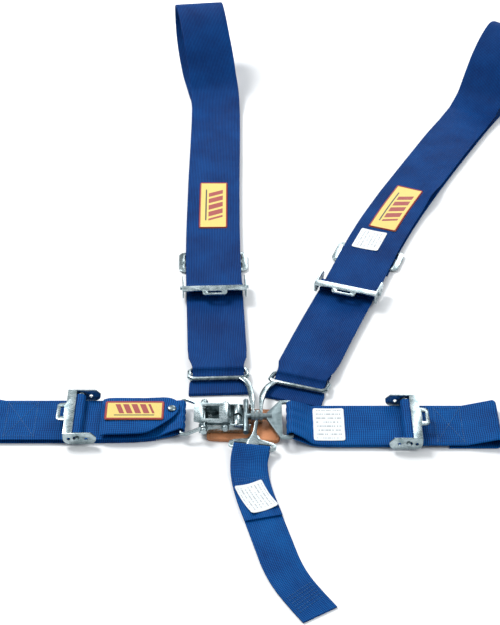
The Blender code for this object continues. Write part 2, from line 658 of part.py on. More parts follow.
def cut_tongue_hole(obj, index):
    hole = cylinder("tongue_hole", TONGUE_R + EYE_CLEAR, EYE_T * 3, None, "cutters", 24)
    hole.matrix_world = (Matrix.Translation((eye_x(index), BUCKLE_Y, TONGUE_Z))
                         @ Matrix.Rotation(math.pi / 2, 4, "Y"))
    boolean(obj, hole, "DIFFERENCE")


def shoulder_fitting(side, line, index):
    """Two-bar frame bent from rod, with an arm down to the eye on the tongue."""
    zinc = bpy.data.materials["zinc"]
    sign = {"left": 1, "right": -1}[side]
    half = GATHER * SHOULDER_W / 2 + 0.0016
    high_z, low_z = SHOULDER_BAR_Z, SHOULDER_LOW_BAR_Z
    out = half + FITTING_R + 0.0012
    frame = [line.place(SHOULDER_BAR_S, -half, high_z), line.place(SHOULDER_BAR_S, half, high_z),
             line.place(SHOULDER_BAR_S - 0.004, out, high_z),
             line.place(SHOULDER_LOW_BAR_S + 0.004, out, low_z),
             line.place(SHOULDER_LOW_BAR_S, half, low_z),
             line.place(SHOULDER_LOW_BAR_S, -half, low_z),
             line.place(SHOULDER_LOW_BAR_S + 0.004, -out, low_z),
             line.place(SHOULDER_BAR_S - 0.004, -out, high_z)]
    body = curve_to_mesh(rod(side + "_shoulder_fitting", frame, FITTING_R, zinc, True))
    corner = line.place(SHOULDER_LOW_BAR_S + 0.001, sign * (half - 0.004), low_z)
    target = Vector((eye_x(index), BUCKLE_Y + 0.004, TONGUE_Z))
    bend = Vector((corner.x + (target.x - corner.x) * 0.62, corner.y - 0.016, low_z + 0.001))
    bend2 = Vector((corner.x + (target.x - corner.x) * 0.94, target.y + 0.030, TONGUE_Z))
    arm = rod("fitting_arm", smooth([corner, bend, bend2, target], 4), 0.0021, None, False,
              "cutters")
    boolean(body, curve_to_mesh(arm), "UNION")
    boolean(body, eye("fitting_eye", index), "UNION")
    cut_tongue_hole(body, index)
    bake(body)


def crotch_fitting(index):
    """T-shaped plate whose neck is twisted edge-on for the tongue."""
    zinc = bpy.data.materials["zinc"]
    half = CROTCH_W / 2
    low_z = TONGUE_Z - 0.006
    outline = [(0.017, 0.0042), (0.010, 0.008), (0.006, half + 0.001), (0.002, half + 0.0065),
               (-0.006, half + 0.0065), (-0.009, half + 0.002), (-0.009, -half - 0.002),
               (-0.006, -half - 0.0065), (0.002, -half - 0.0065), (0.006, -half - 0.001),
               (0.010, -0.008), (0.017, -0.0042)]
    slot = rounded_rectangle(0.006, CROTCH_W + 0.0015, 0.001, 2, (-0.0015, 0.0))
    body = plate("crotch_fitting", outline, PLATE_T, zinc, [slot])
    point, direction = CROTCH.at(0.0)
    back = point - direction * CROTCH_BAR_BACK
    place = Matrix.Translation((back.x, back.y, low_z)) @ Matrix.Rotation(
        math.atan2(-direction.y, -direction.x), 4, "Z")
    body.matrix_world = place
    body = curve_to_mesh(body)
    body.data.transform(body.matrix_world)
    body.matrix_world = Matrix.Identity(4)
    start = place @ Vector((0.013, 0.0, 0.0))
    end = Vector((eye_x(index), BUCKLE_Y - 0.004, TONGUE_Z))
    neck = rod("crotch_neck", smooth([start, start.lerp(end, 0.5) + Vector((0.0, 0.0, -0.001)),
                                      end], 4), 0.0021, None, False, "cutters")
    boolean(body, curve_to_mesh(neck), "UNION")
    boolean(body, eye("crotch_eye", index), "UNION")
    cut_tongue_hole(body, index)
    bake(body)


def crotch_belt():
    blue = bpy.data.materials["webbing"]
    bar_z = TONGUE_Z - 0.006
    profile = [(0.120, layer_z(1)), (0.055, layer_z(1)), (0.022, layer_z(1) + 0.003)]
    profile += arc((0.0, bar_z), CROTCH_FOLD_R, 80, 280, 8)
    profile += [(0.022, layer_z(0) + 0.0022), (0.055, layer_z(0))]
    steps = 14
    profile += [(0.055 + (CROTCH_S - 0.055) * step / steps, layer_z(0))
                for step in range(1, steps + 1)]
    strap("crotch_strap", CROTCH, profile, CROTCH_W, blue)


# ---------------------------------------------------------------- small pieces
def label(name, line, s, v, length, width, top, material, turn=0.0):
    obj = plate(name, rounded_rectangle(length, width, 0.0015, 2), LABEL_T,
                bpy.data.materials[material])
    obj.matrix_world = (line.matrix(s, top + GAP + LABEL_T / 2)
                        @ Matrix.Translation((0.0, -v, 0.0)) @ Matrix.Rotation(turn, 4, "Z"))
    return obj


def leather_pad():
    pad = plate("leather_pad", rounded_rectangle(PAD_L, PAD_W, 0.006), PAD_T,
                bpy.data.materials["leather"])
    pad.matrix_world = (Matrix.Translation((-0.007, 0.007, PAD_T / 2))
                        @ Matrix.Rotation(math.radians(-3), 4, "Z"))


def lap_flap():
    """The adjuster's free end lies back over the left lap belt, held by a snap fastener."""
    blue = bpy.data.materials["webbing"]
    s = LEFT_ADJ_S
    top = LAP_TOP + GAP + WEB_T / 2
    start = s - ADJ_FLANGE_L + ADJ_BRIDGE_L - 0.004
    profile = smooth([(start, top + 0.0055), (start - 0.010, top + 0.0082),
                      (start - 0.040, top + 0.0085), (0.036, top + 0.0085), (0.020, top + 0.0088),
                      (0.003, top + 0.0092)], 4)
    strap("left_lap_flap", LEFT_LAP, [tuple(point) for point in profile], LAP_W, blue)
    label("left_lap_patch", LEFT_LAP, 0.057, 0.008, 0.072, 0.036, top + 0.0090 + WEB_T / 2, "patch")
    snap = turned("snap_fastener", [(0.0, 0.003), (0.004, 0.0026), (0.0055, 0.0012), (0.0055, 0.0),
                                    (0.0, 0.0)], bpy.data.materials["zinc"], 16)
    snap.location = LEFT_LAP.place(0.0115, 0.006, top + 0.0094 + WEB_T / 2 + GAP)


def main():
    clear_scene()
    make_material("webbing", BLUE, 0.75, 0.0)
    make_material("zinc", STEEL, 0.35, 1.0)
    make_material("leather", TAN, 0.6, 0.0)
    make_material("patch", YELLOW, 0.8, 0.0)
    make_material("label", WHITE, 0.8, 0.0)

    leather_pad()
    latch()
    link()
    lap_belt("left", LEFT_LAP, LEFT_LAP_REACH + STRAP_BAR_X, TONGUE_Z - 0.004, WIRE_R,
             LEFT_ADJ_S, LEFT_LAP_TAIL_S)
    lap_belt("right", RIGHT_LAP, RIGHT_LAP_REACH - LINK_BAR_X, TONGUE_Z, LINK_BAR_L / 2 + 0.0005,
             RIGHT_ADJ_S, RIGHT_LAP_TAIL_S)
    adjuster("left_lap_adjuster", LEFT_LAP, LEFT_ADJ_S, LAP_TOP, LAP_W)
    adjuster("right_lap_adjuster", RIGHT_LAP, RIGHT_ADJ_S, LAP_TOP, LAP_W)
    lap_flap()
    label("right_lap_label", RIGHT_LAP, 0.046, 0.0, 0.038, 0.062, LAP_TOP, "label")

    for side, line, split, index in (("left", LEFT_SHOULDER, LEFT_SHOULDER_ADJ_S, 0),
                                     ("right", RIGHT_SHOULDER, RIGHT_SHOULDER_ADJ_S, 2)):
        shoulder_belt(side, line, split)
        three_bar_slide(side, line)
        adjuster(side + "_shoulder_adjuster", line, split, SHOULDER_TOP_FACE, SHOULDER_W, math.pi)
        shoulder_fitting(side, line, index)
    label("left_shoulder_patch", LEFT_SHOULDER, 0.420, 0.000, 0.124, 0.041, SHOULDER_TOP_FACE,
          "patch")
    label("right_shoulder_patch", RIGHT_SHOULDER, 0.455, 0.0, 0.124, 0.041, SHOULDER_TOP_FACE,
          "patch")
    label("right_shoulder_label", RIGHT_SHOULDER, 0.363, 0.0, 0.050, 0.038, SHOULDER_TOP_FACE,
          "label")
    crotch_fitting(1)
    crotch_belt()
    label("crotch_label", CROTCH, 0.085, 0.0, 0.050, 0.036, layer_z(1) + WEB_T / 2, "label",
          math.radians(20))


main()
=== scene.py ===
"""Five-point latch-and-link racing harness: blue webbing, zinc-plated steel, a leather pad."""

import json
import math

import bmesh
import bpy
from bpy.props import FloatProperty, FloatVectorProperty, PointerProperty
from mathutils import Matrix, Vector, noise


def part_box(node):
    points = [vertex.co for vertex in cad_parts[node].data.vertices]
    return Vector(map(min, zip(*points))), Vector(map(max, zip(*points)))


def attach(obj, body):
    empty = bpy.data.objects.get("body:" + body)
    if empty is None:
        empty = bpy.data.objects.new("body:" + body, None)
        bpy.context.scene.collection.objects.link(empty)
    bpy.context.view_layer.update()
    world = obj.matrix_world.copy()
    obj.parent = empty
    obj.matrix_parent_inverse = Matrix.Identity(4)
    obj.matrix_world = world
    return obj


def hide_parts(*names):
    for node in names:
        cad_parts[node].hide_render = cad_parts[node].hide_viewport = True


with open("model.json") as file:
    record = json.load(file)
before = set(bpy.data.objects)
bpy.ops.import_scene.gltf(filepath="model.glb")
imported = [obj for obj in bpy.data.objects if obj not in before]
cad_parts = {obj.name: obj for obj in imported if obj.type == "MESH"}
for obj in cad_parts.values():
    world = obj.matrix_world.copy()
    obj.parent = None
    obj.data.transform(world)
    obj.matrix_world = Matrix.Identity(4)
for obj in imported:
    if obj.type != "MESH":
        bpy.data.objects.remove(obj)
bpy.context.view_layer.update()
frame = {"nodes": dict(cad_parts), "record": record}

bl_info = {
    "name": "Racing harness",
    "version": (1, 0, 0),
    "blender": (4, 5, 0),
    "location": "View3D > Sidebar > Harness",
    "description": "Dresses a laid-out racing harness on its fixed frame",
    "category": "Object",
}

MM = 0.001
ROOT = "buckle_and_lap_belts"
BODY_OF = {node: body for body, nodes in frame["record"]["behaviour"]["bodies"].items()
           for node in nodes}


def linear(code):
    """An sRGB hex colour as linear RGBA."""
    channels = [int(code[index:index + 2], 16) / 255 for index in (1, 3, 5)]
    return (*[c / 12.92 if c <= 0.04045 else ((c + 0.055) / 1.055) ** 2.4 for c in channels], 1.0)


def toned(color, factor):
    """A colour made darker or lighter."""
    return (*[min(1.0, channel * factor) for channel in color[:3]], 1.0)


def middle(node):
    """The middle of a frame node's box."""
    low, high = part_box(node)
    return (low + high) / 2


def span(node, axis):
    """How long a frame node's box is along an axis."""
    low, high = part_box(node)
    return high[axis] - low[axis]


# ---------------------------------------------------------------- sizes of the laid-out harness
# Every s is a distance along a belt's line on the ground, from its buckle end.
GAP = 0.3 * MM                 # between two pieces that lie on each other
WEB_T = 2.0 * MM               # webbing thickness
LAP_W = span("left_lap_outer_strap", 1)
SHOULDER_W = LAP_W
CROTCH_W = 44.5 * MM
GATHER = 0.80                  # share of its width that webbing keeps on a buckle bar
LAYER = [WEB_T / 2 + step * (WEB_T + GAP) for step in range(3)]  # heights of stacked webbing
LAP_TOP = LAYER[2] + WEB_T / 2
FRONT_Z = 7.9 * MM             # front layer of a shoulder belt
FRONT_TOP = FRONT_Z + WEB_T / 2
BUCKLE_Y = middle("strap_pin").y
TONGUE_Z = middle("lever_pin").z
ADJUSTER_S = {"left_lap": 0.130, "right_lap": 0.146, "left_shoulder": 0.194,
              "right_shoulder": 0.222}
SLIDE_S = {"left": 0.279, "right": 0.327}
RISE = {"left": (0.712, 1.0), "right": (0.774, 0.70)}  # s where the top loop starts, its stretch
# The standing loop's side view: (s past its start, height), up, over and back to the ground.
TOP_LOOP = [(0.0, 0.010), (0.040, 0.022), (0.070, 0.045), (0.100, 0.072), (0.130, 0.094),
            (0.155, 0.106), (0.175, 0.108), (0.195, 0.100), (0.203, 0.080), (0.190, 0.055),
            (0.160, 0.030), (0.120, 0.010), (0.085, 0.0022), (0.060, LAYER[0])]


# ---------------------------------------------------------------- curves
def smooth(points, steps):
    """Points along a Catmull-Rom curve through the given ones."""
    points = [Vector(point) for point in points]
    ends = [2 * points[0] - points[1], *points, 2 * points[-1] - points[-2]]
    curve = []
    for index in range(1, len(ends) - 2):
        a, b, c, d = ends[index - 1:index + 3]
        for step in range(steps):
            t = step / steps
            curve.append(0.5 * (2 * b + (c - a) * t + (2 * a - 5 * b + 4 * c - d) * t ** 2
                                + (3 * b - a - 3 * c + d) * t ** 3))
    curve.append(points[-1])
    return curve


def arc(centre, radius, start, end, steps=14):
    """Points (s, z) on an arc from one angle in degrees to another."""
    angles = [math.radians(start + (end - start) * step / steps) for step in range(steps + 1)]
    return [(centre[0] + radius * math.cos(angle), centre[1] + radius * math.sin(angle))
            for angle in angles]


def ease(low, high, value):
    """0 below low, 1 above high, and smooth between them."""
    t = min(1.0, max(0.0, (value - low) / (high - low)))
    return t * t * (3 - 2 * t)


class PlanLine:
    """The centre line of a belt on the ground plan, measured by its length s from the buckle."""

    def __init__(self, points):
        self.points = [Vector(point) for point in points]
        self.lengths = [0.0]
        for first, second in zip(self.points, self.points[1:]):
            self.lengths.append(self.lengths[-1] + (second - first).length)

    def at(self, s):
        """The point and the direction at s."""
        index = 0
        while index < len(self.points) - 2 and s > self.lengths[index + 1]:
            index += 1
        start, end = self.points[index], self.points[index + 1]
        direction = (end - start).normalized()
        return start + direction * (s - self.lengths[index]), direction

    def place(self, s, v, z):
        """A point v to the right of the line, as it leaves the buckle, at height z.

        The direction is averaged over a short stretch, so that the edges don't kink.
        """
        direction = (self.at(s + 0.008)[0] - self.at(s - 0.008)[0]).normalized()
        across = Vector((direction.y, -direction.x))
        return Vector((*(self.at(s)[0] + across * v), z))

    def matrix(self, s, z, turn=0.0):
        """A frame whose X runs outwards along the belt, and Z up."""
        point, direction = self.at(s)
        angle = math.atan2(direction.y, direction.x) + turn
        return Matrix.Translation((*point, z)) @ Matrix.Rotation(angle, 4, "Z")


LEFT_LAP = PlanLine([(-0.084, middle("left_lap_outer_strap").y),
                     (-1.0, middle("left_lap_outer_strap").y)])
RIGHT_LAP = PlanLine([(0.050, middle("right_lap_outer_strap").y),
                      (1.0, middle("right_lap_outer_strap").y)])
SHOULDER = {
    "left": PlanLine(smooth([(-0.0395, 0.088), (-0.0455, 0.230), (-0.0515, 0.380),
                             (-0.0535, 0.550), (-0.0545, 0.800), (-0.0620, 0.870),
                             (-0.0740, 0.925), (-0.0850, 0.985), (-0.0910, 1.050)], 6)),
    "right": PlanLine(smooth([(0.057, 0.072), (0.099, 0.195), (0.139, 0.305), (0.183, 0.430),
                              (0.2385, 0.5585), (0.321, 0.7265), (0.378, 0.831),
                              (0.421, 0.888), (0.470, 0.950)], 6)),
}
CROTCH = PlanLine(smooth([(0.002, -0.044), (-0.001, -0.064), (0.000, -0.090), (0.006, -0.124),
                          (0.0145, -0.157), (0.025, -0.198), (0.035, -0.236), (0.046, -0.264),
                          (0.060, -0.289), (0.076, -0.3145)], 6))


def adjuster_matrix(name):
    """Where an adjuster sits on its belt. A shoulder one faces the buckle."""
    side, place = name.split("_")
    if place == "lap":
        line = LEFT_LAP if side == "left" else RIGHT_LAP
        return line.matrix(ADJUSTER_S[name], LAP_TOP)
    return SHOULDER[side].matrix(ADJUSTER_S[name], FRONT_TOP, math.pi)


def shoulder_wave(side):
    """How far the loose front layer of a shoulder belt lifts from lying flat."""
    seed = {"left": 3.1, "right": 7.7}[side]
    start, end = SLIDE_S[side] + 0.035, RISE[side][0] - 0.03

    def lift(s, v):
        window = ease(start, start + 0.05, s) * (1 - ease(end - 0.05, end, s))
        long_wave = noise.noise(Vector((s * 6.5, seed, 0.0)))
        edge_wave = noise.noise(Vector((s * 13.0, v * 18.0, seed)))
        curled = 0.0
        if side == "right":  # its right edge is turned up beside the patch
            curled = 7 * MM * math.exp(-((s - 0.505) / 0.030) ** 2) * ease(0.020, 0.040, v)
        return window * (1.6 * MM * long_wave + 1.5 * MM * edge_wave + curled)

    return lift


# ---------------------------------------------------------------- materials
MIX = "ShaderNodeMix"


def add(tree, kind, inputs=None, **settings):
    """Adds one node: a Math node where kind is an operation in capitals, such as SINE.

    An input is linked where it is given a node or a socket, and otherwise set.
    """
    if kind.isupper():
        kind, settings = "ShaderNodeMath", {"operation": kind}
    node = tree.nodes.new(kind)
    for key, value in settings.items():
        setattr(node, key, value)
    for key, value in (inputs or {}).items():
        if isinstance(value, bpy.types.Node):
            value = value.outputs[0]
        if isinstance(value, bpy.types.NodeSocket):
            tree.links.new(value, node.inputs[key])
        else:
            node.inputs[key].default_value = value
    return node


def set_stops(ramp, stops):
    """Gives a colour ramp its (position, linear colour) stops."""
    stops, elements = list(stops), ramp.color_ramp.elements
    while len(elements) < len(stops):
        elements.new(0.5)
    for element, (position, color) in zip(elements, stops):
        element.position = position
        element.color = color
    return ramp


def start_material(name, roughness, metallic=0.0):
    """A new material, with its node tree and its shader."""
    material = bpy.data.materials.new(name)
    material.use_nodes = True
    shader = material.node_tree.nodes["Principled BSDF"]
    shader.inputs["Roughness"].default_value = roughness
    shader.inputs["Metallic"].default_value = metallic
    return material, material.node_tree, shader


def dress(tree, shader, color, height, strength, depth, **values):
    """Feeds a shader its colour and a bump of this depth, and sets its other inputs."""
    bump = add(tree, "ShaderNodeBump", {"Height": height, "Strength": strength, "Distance": depth})
    tree.links.new(color, shader.inputs["Base Color"])
    tree.links.new(bump.outputs["Normal"], shader.inputs["Normal"])
    for key, value in values.items():
        shader.inputs[key.replace("_", " ")].default_value = value


def polyester_webbing(name, rib, weft_pitch, rib_share, colors):
    """Woven polyester webbing: spun ribs and weft rows, with painted shade in the hollows, a
    painted highlight on the crowns and a soft sheen.

    The belt map is in metres: U across the belt and V along it. Real ribs are 1 mm apart; these
    are drawn wider, because single ribs are too fine to show at the harness's full size.
    """
    _, tree, shader = start_material(name, 0.6)
    belt = add(tree, "ShaderNodeSeparateXYZ",
               {"Vector": add(tree, "ShaderNodeUVMap", uv_map="belt")})
    across, along = belt.outputs["X"], belt.outputs["Y"]
    turns = add(tree, "MULTIPLY", {0: across, 1: 2 * math.pi / rib})
    ribs = add(tree, "SINE", {0: turns})
    zigzag = add(tree, "PINGPONG",
                 {0: add(tree, "MULTIPLY", {0: across, 1: 0.25 / rib}), 1: 1.0})
    rows = add(tree, "MULTIPLY_ADD", {0: along, 1: 2 * math.pi / weft_pitch,
                                      2: add(tree, "MULTIPLY", {0: zigzag, 1: 2.4})})
    weft = add(tree, "SINE", {0: rows})
    weave = add(tree, "ADD", {
        0: add(tree, "MULTIPLY", {0: ribs, 1: 0.5 * rib_share}),
        1: add(tree, "MULTIPLY_ADD", {0: weft, 1: 0.5 * (1 - rib_share), 2: 0.5})})
    place = add(tree, "ShaderNodeTexCoord").outputs["Object"]
    # Large soft noise: partly uneven fading, partly painted shade in broad bands along the belts.
    fading_and_painted_shade = add(tree, "ShaderNodeTexNoise", {"Vector": place, "Scale": 22.0, "Detail": 3.0})
    drawn = add(tree, "ShaderNodeMapping", {"Vector": add(tree, "ShaderNodeUVMap", uv_map="belt"),
                                            "Scale": (1.0, 0.05, 1.0)})
    yarns = add(tree, "ShaderNodeTexNoise", {"Vector": drawn, "Scale": 800.0, "Detail": 2.0})
    tone_noise_and_painted_shade = add(tree, "MULTIPLY_ADD", {
        0: fading_and_painted_shade.outputs["Fac"], 1: 0.40,
        2: add(tree, "MULTIPLY", {0: yarns.outputs["Fac"], 1: 0.22})})
    tone = add(tree, "MULTIPLY_ADD", {0: weave, 1: 0.50, 2: tone_noise_and_painted_shade})
    # Dark stop: painted shade in the hollows between ribs; light stop: painted highlight on the rib
    # crowns.
    color = set_stops(add(tree, "ShaderNodeValToRGB", {"Fac": tone}),
                      zip((0.24, 0.52, 0.84), colors))
    dress(tree, shader, color.outputs["Color"], weave, 0.6, 0.5 * MM, Sheen_Weight=0.03,
          Sheen_Roughness=0.4, Sheen_Tint=linear("#2f7fd8"), Specular_IOR_Level=0.07)


def zinc_plate(name, roughness, colors):
    """Bright zinc on stamped steel: a bluish grey, clouded, with fine tumbling scratches."""
    _, tree, shader = start_material(name, roughness, 1.0)
    place = add(tree, "ShaderNodeTexCoord").outputs["Object"]
    cloud = add(tree, "ShaderNodeTexNoise", {"Vector": place, "Scale": 110.0, "Detail": 4.0})
    rolled = add(tree, "ShaderNodeMapping", {"Vector": place, "Scale": (1.0, 9.0, 9.0)})
    scratches = add(tree, "ShaderNodeTexNoise", {"Vector": rolled, "Scale": 260.0, "Detail": 3.0})
    color = set_stops(add(tree, "ShaderNodeValToRGB", {"Fac": cloud.outputs["Fac"]}),
                      zip((0.32, 0.66), colors))
    rough = add(tree, "ShaderNodeMapRange",
                {"Value": scratches.outputs["Fac"], "From Min": 0.3, "From Max": 0.7,
                 "To Min": roughness - 0.07, "To Max": roughness + 0.13})
    tree.links.new(rough.outputs["Result"], shader.inputs["Roughness"])
    dress(tree, shader, color.outputs["Color"], scratches.outputs["Fac"], 0.15, 0.1 * MM)


def saddle_leather(name, colors):
    """Vegetable-tanned saddle leather: a 1.5 mm pebbled grain, blotched where it was handled."""
    _, tree, shader = start_material(name, 0.58)
    place = add(tree, "ShaderNodeTexCoord").outputs["Object"]
    grain = add(tree, "ShaderNodeTexVoronoi", {"Vector": place, "Scale": 640.0})
    blotch = add(tree, "ShaderNodeTexNoise", {"Vector": place, "Scale": 60.0, "Detail": 4.0})
    color = set_stops(add(tree, "ShaderNodeValToRGB", {"Fac": blotch.outputs["Fac"]}),
                      zip((0.30, 0.52, 0.74), colors))
    dress(tree, shader, color.outputs["Color"], grain.outputs["Distance"], 0.4, 0.3 * MM,
          Specular_IOR_Level=0.4)


def nylon_thread(name, color):
    """Bonded nylon thread: a smooth, slightly shiny twist of one colour."""
    _, tree, shader = start_material(name, 0.45)
    place = add(tree, "ShaderNodeTexCoord").outputs["Object"]
    twist = add(tree, "ShaderNodeTexNoise", {"Vector": place, "Scale": 1400.0})
    shade = set_stops(add(tree, "ShaderNodeValToRGB", {"Fac": twist.outputs["Fac"]}),
                      [(0.3, toned(color, 0.7)), (0.7, color)])
    dress(tree, shader, shade.outputs["Color"], twist.outputs["Fac"], 0.3, 0.1 * MM)


def satin_stitch(name, field, mark, rule):
    """Embroidered twill: a field of slanted 1 mm threads with a row of plain slanted bars.

    The patch map runs from 0 to 1 both ways. The bars and the rule under them spell nothing.
    """
    _, tree, shader = start_material(name, 0.5)
    patch = add(tree, "ShaderNodeSeparateXYZ",
                {"Vector": add(tree, "ShaderNodeUVMap", uv_map="patch")})
    u, v = patch.outputs["X"], patch.outputs["Y"]
    slant = add(tree, "MULTIPLY_ADD", {0: v, 1: -0.16, 2: u})
    stripes = add(tree, "FRACT", {0: add(tree, "MULTIPLY", {0: slant, 1: 7.0})})
    in_length = add(tree, "COMPARE", {0: slant, 1: 0.40, 2: 0.30})
    in_height = add(tree, "COMPARE", {0: v, 1: 0.58, 2: 0.25})
    in_stripe = add(tree, "GREATER_THAN", {0: stripes, 1: 0.30})
    marked = add(tree, "MULTIPLY", {0: add(tree, "MULTIPLY", {0: in_length, 1: in_height}),
                                    1: in_stripe})
    ruled = add(tree, "MULTIPLY", {0: add(tree, "COMPARE", {0: u, 1: 0.50, 2: 0.34}),
                                   1: add(tree, "COMPARE", {0: v, 1: 0.24, 2: 0.025})})
    with_mark = add(tree, MIX, {0: marked, 6: field, 7: mark}, data_type="RGBA")
    with_rule = add(tree, MIX, {0: ruled, 6: with_mark.outputs[2], 7: rule}, data_type="RGBA")
    threads = add(tree, "MULTIPLY", {0: add(tree, "MULTIPLY_ADD", {0: v, 1: 3.0, 2: u}),
                                     1: 260.0})
    twill = add(tree, "MULTIPLY_ADD", {0: add(tree, "SINE", {0: threads}), 1: 0.10, 2: 0.90})
    # The twill sine also darkens the colour in the grooves between the threads: painted shade.
    shaded = add(tree, MIX, {0: 1.0, 6: with_rule.outputs[2], 7: twill}, data_type="RGBA",
                 blend_type="MULTIPLY")
    dress(tree, shader, shaded.outputs[2], twill, 0.5, 0.3 * MM, Sheen_Weight=0.3)


def label_satin(name, ground, ink):
    """White polyester satin, printed with rows of plain grey dashes that spell nothing."""
    _, tree, shader = start_material(name, 0.45)
    patch = add(tree, "ShaderNodeSeparateXYZ",
                {"Vector": add(tree, "ShaderNodeUVMap", uv_map="patch")})
    u, v = patch.outputs["X"], patch.outputs["Y"]
    lines = add(tree, "MULTIPLY", {0: v, 1: 8.0})
    in_row = add(tree, "COMPARE", {0: add(tree, "FRACT", {0: lines}), 1: 0.5, 2: 0.17})
    cells = add(tree, "ShaderNodeCombineXYZ",
                {"X": add(tree, "MULTIPLY", {0: u, 1: 1.8}),
                 "Y": add(tree, "MULTIPLY", {0: add(tree, "FLOOR", {0: lines}), 1: 0.73})})
    spots = add(tree, "ShaderNodeTexNoise", {"Vector": cells, "Scale": 14.0, "Detail": 0.0})
    words = add(tree, "GREATER_THAN", {0: spots.outputs["Fac"], 1: 0.46})
    on_page = add(tree, "MULTIPLY", {0: add(tree, "COMPARE", {0: u, 1: 0.5, 2: 0.40}),
                                     1: add(tree, "COMPARE", {0: v, 1: 0.5, 2: 0.44})})
    printed = add(tree, "MULTIPLY", {0: add(tree, "MULTIPLY", {0: in_row, 1: words}),
                                     1: add(tree, "MULTIPLY", {0: on_page, 1: 0.75})})
    color = add(tree, MIX, {0: printed, 6: ground, 7: ink}, data_type="RGBA")
    threads = add(tree, "SINE", {0: add(tree, "MULTIPLY", {0: v, 1: 300.0})})
    dress(tree, shader, color.outputs[2], threads, 0.2, 0.2 * MM)


def finish(name):
    """A finish that the first step has mixed."""
    return bpy.data.materials[name]


# ---------------------------------------------------------------- mesh tools
def put(name, data):
    """A new object in the scene."""
    obj = bpy.data.objects.new(name, data)
    bpy.context.scene.collection.objects.link(obj)
    return obj


def add_piece(name, verts, faces, material, maps=None):
    """A mesh object whose faces point outwards. maps gives a UV map's name and its places."""
    mesh = bpy.data.meshes.new(name)
    mesh.from_pydata(verts, [], faces)
    for layer_name, places in (maps or {}).items():
        layer = mesh.uv_layers.new(name=layer_name)
        for loop in mesh.loops:
            layer.data[loop.index].uv = places[loop.vertex_index]
    bm = bmesh.new()
    bm.from_mesh(mesh)
    bmesh.ops.recalc_face_normals(bm, faces=bm.faces)
    bm.to_mesh(mesh)
    bm.free()
    mesh.materials.append(material)
    obj = put(name, mesh)
    mesh.shade_smooth()
    mesh.set_sharp_from_angle(angle=math.radians(50))
    return obj


def tube_faces(rows, ring):
    """The faces of a closed tube: rows of ring vertices, and a cap at each end."""
    last = (rows - 1) * ring
    faces = [(row + i, row + (i + 1) % ring, row + ring + (i + 1) % ring, row + ring + i)
             for row in range(0, last, ring) for i in range(ring)]
    return faces + [tuple(range(ring)), tuple(reversed(range(last, last + ring)))]


def finish_modifiers(obj):
    """Turns an object with modifiers into a plain mesh."""
    bpy.context.view_layer.update()
    graph = bpy.context.evaluated_depsgraph_get()
    mesh = bpy.data.meshes.new_from_object(obj.evaluated_get(graph))
    obj.modifiers.clear()
    obj.data = mesh


def stand_for(obj, node):
    """obj shows in place of a frame node and moves as it does."""
    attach(obj, BODY_OF[node])
    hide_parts(node)


def stations(profile, step):
    """A (s, z, share) path cut into stretches of at most a step, with its running length."""
    rows = [(point[0], point[1], point[2] if len(point) > 2 else 1.0) for point in profile]
    path, run = [(*rows[0], 0.0)], 0.0
    for first, second in zip(rows, rows[1:]):
        length = math.hypot(second[0] - first[0], second[1] - first[1])
        count = max(1, math.ceil(length / step))
        for index in range(1, count + 1):
            t = index / count
            path.append((*[a + (b - a) * t for a, b in zip(first, second)], run + length * t))
        run += length
    return path, run


def webbing(name, node, place, profile, width, material, lift=None, step=7 * MM, held="folded",
            pleats=4):
    """A length of webbing with round edges and a slight crown, swept along its (s, z) path.

    A third number in the path is the share of its width that the webbing keeps there; what it
    loses goes into pleats. lift raises a shoulder belt's front layer.
    """
    path, length = stations(profile, step)
    half, edge, columns, round_steps = width / 2, WEB_T / 2, 22, 4
    section = [(-half + edge - edge * math.cos(math.pi / 2 * i / round_steps),
                edge * math.sin(math.pi / 2 * i / round_steps)) for i in range(round_steps + 1)]
    section += [(-half + edge + (width - WEB_T) * i / columns, edge) for i in range(1, columns)]
    section += [(-v, h) for v, h in reversed(section[:round_steps + 1])]
    section += [(v, -h) for v, h in reversed(section[1:-1])]
    verts, maps = [], []
    for index, (s, z, share, run) in enumerate(path):
        before, after = path[max(0, index - 1)], path[min(len(path) - 1, index + 1)]
        ds, dz = after[0] - before[0], after[1] - before[1]
        norm = math.hypot(ds, dz) or 1.0
        for v, h in section:
            fold = (1 - share) * 2.4 * MM * math.sin(pleats * math.pi * v / half)
            out = h * (1 - 0.06 * (v / half) ** 2) + fold * min(1.0, max(0.0, 1.3 - abs(v) / half))
            up = lift(s, v) if lift and z > FRONT_Z - MM else 0.0
            x, y, height = place(s - dz / norm * out, v * share, z + ds / norm * out + up)
            verts.append((x, y, max(0.0, height)))
            maps.append((v, run))
    obj = add_piece(name, verts, tube_faces(len(path), len(section)), material, {"belt": maps})
    stand_for(obj, node)


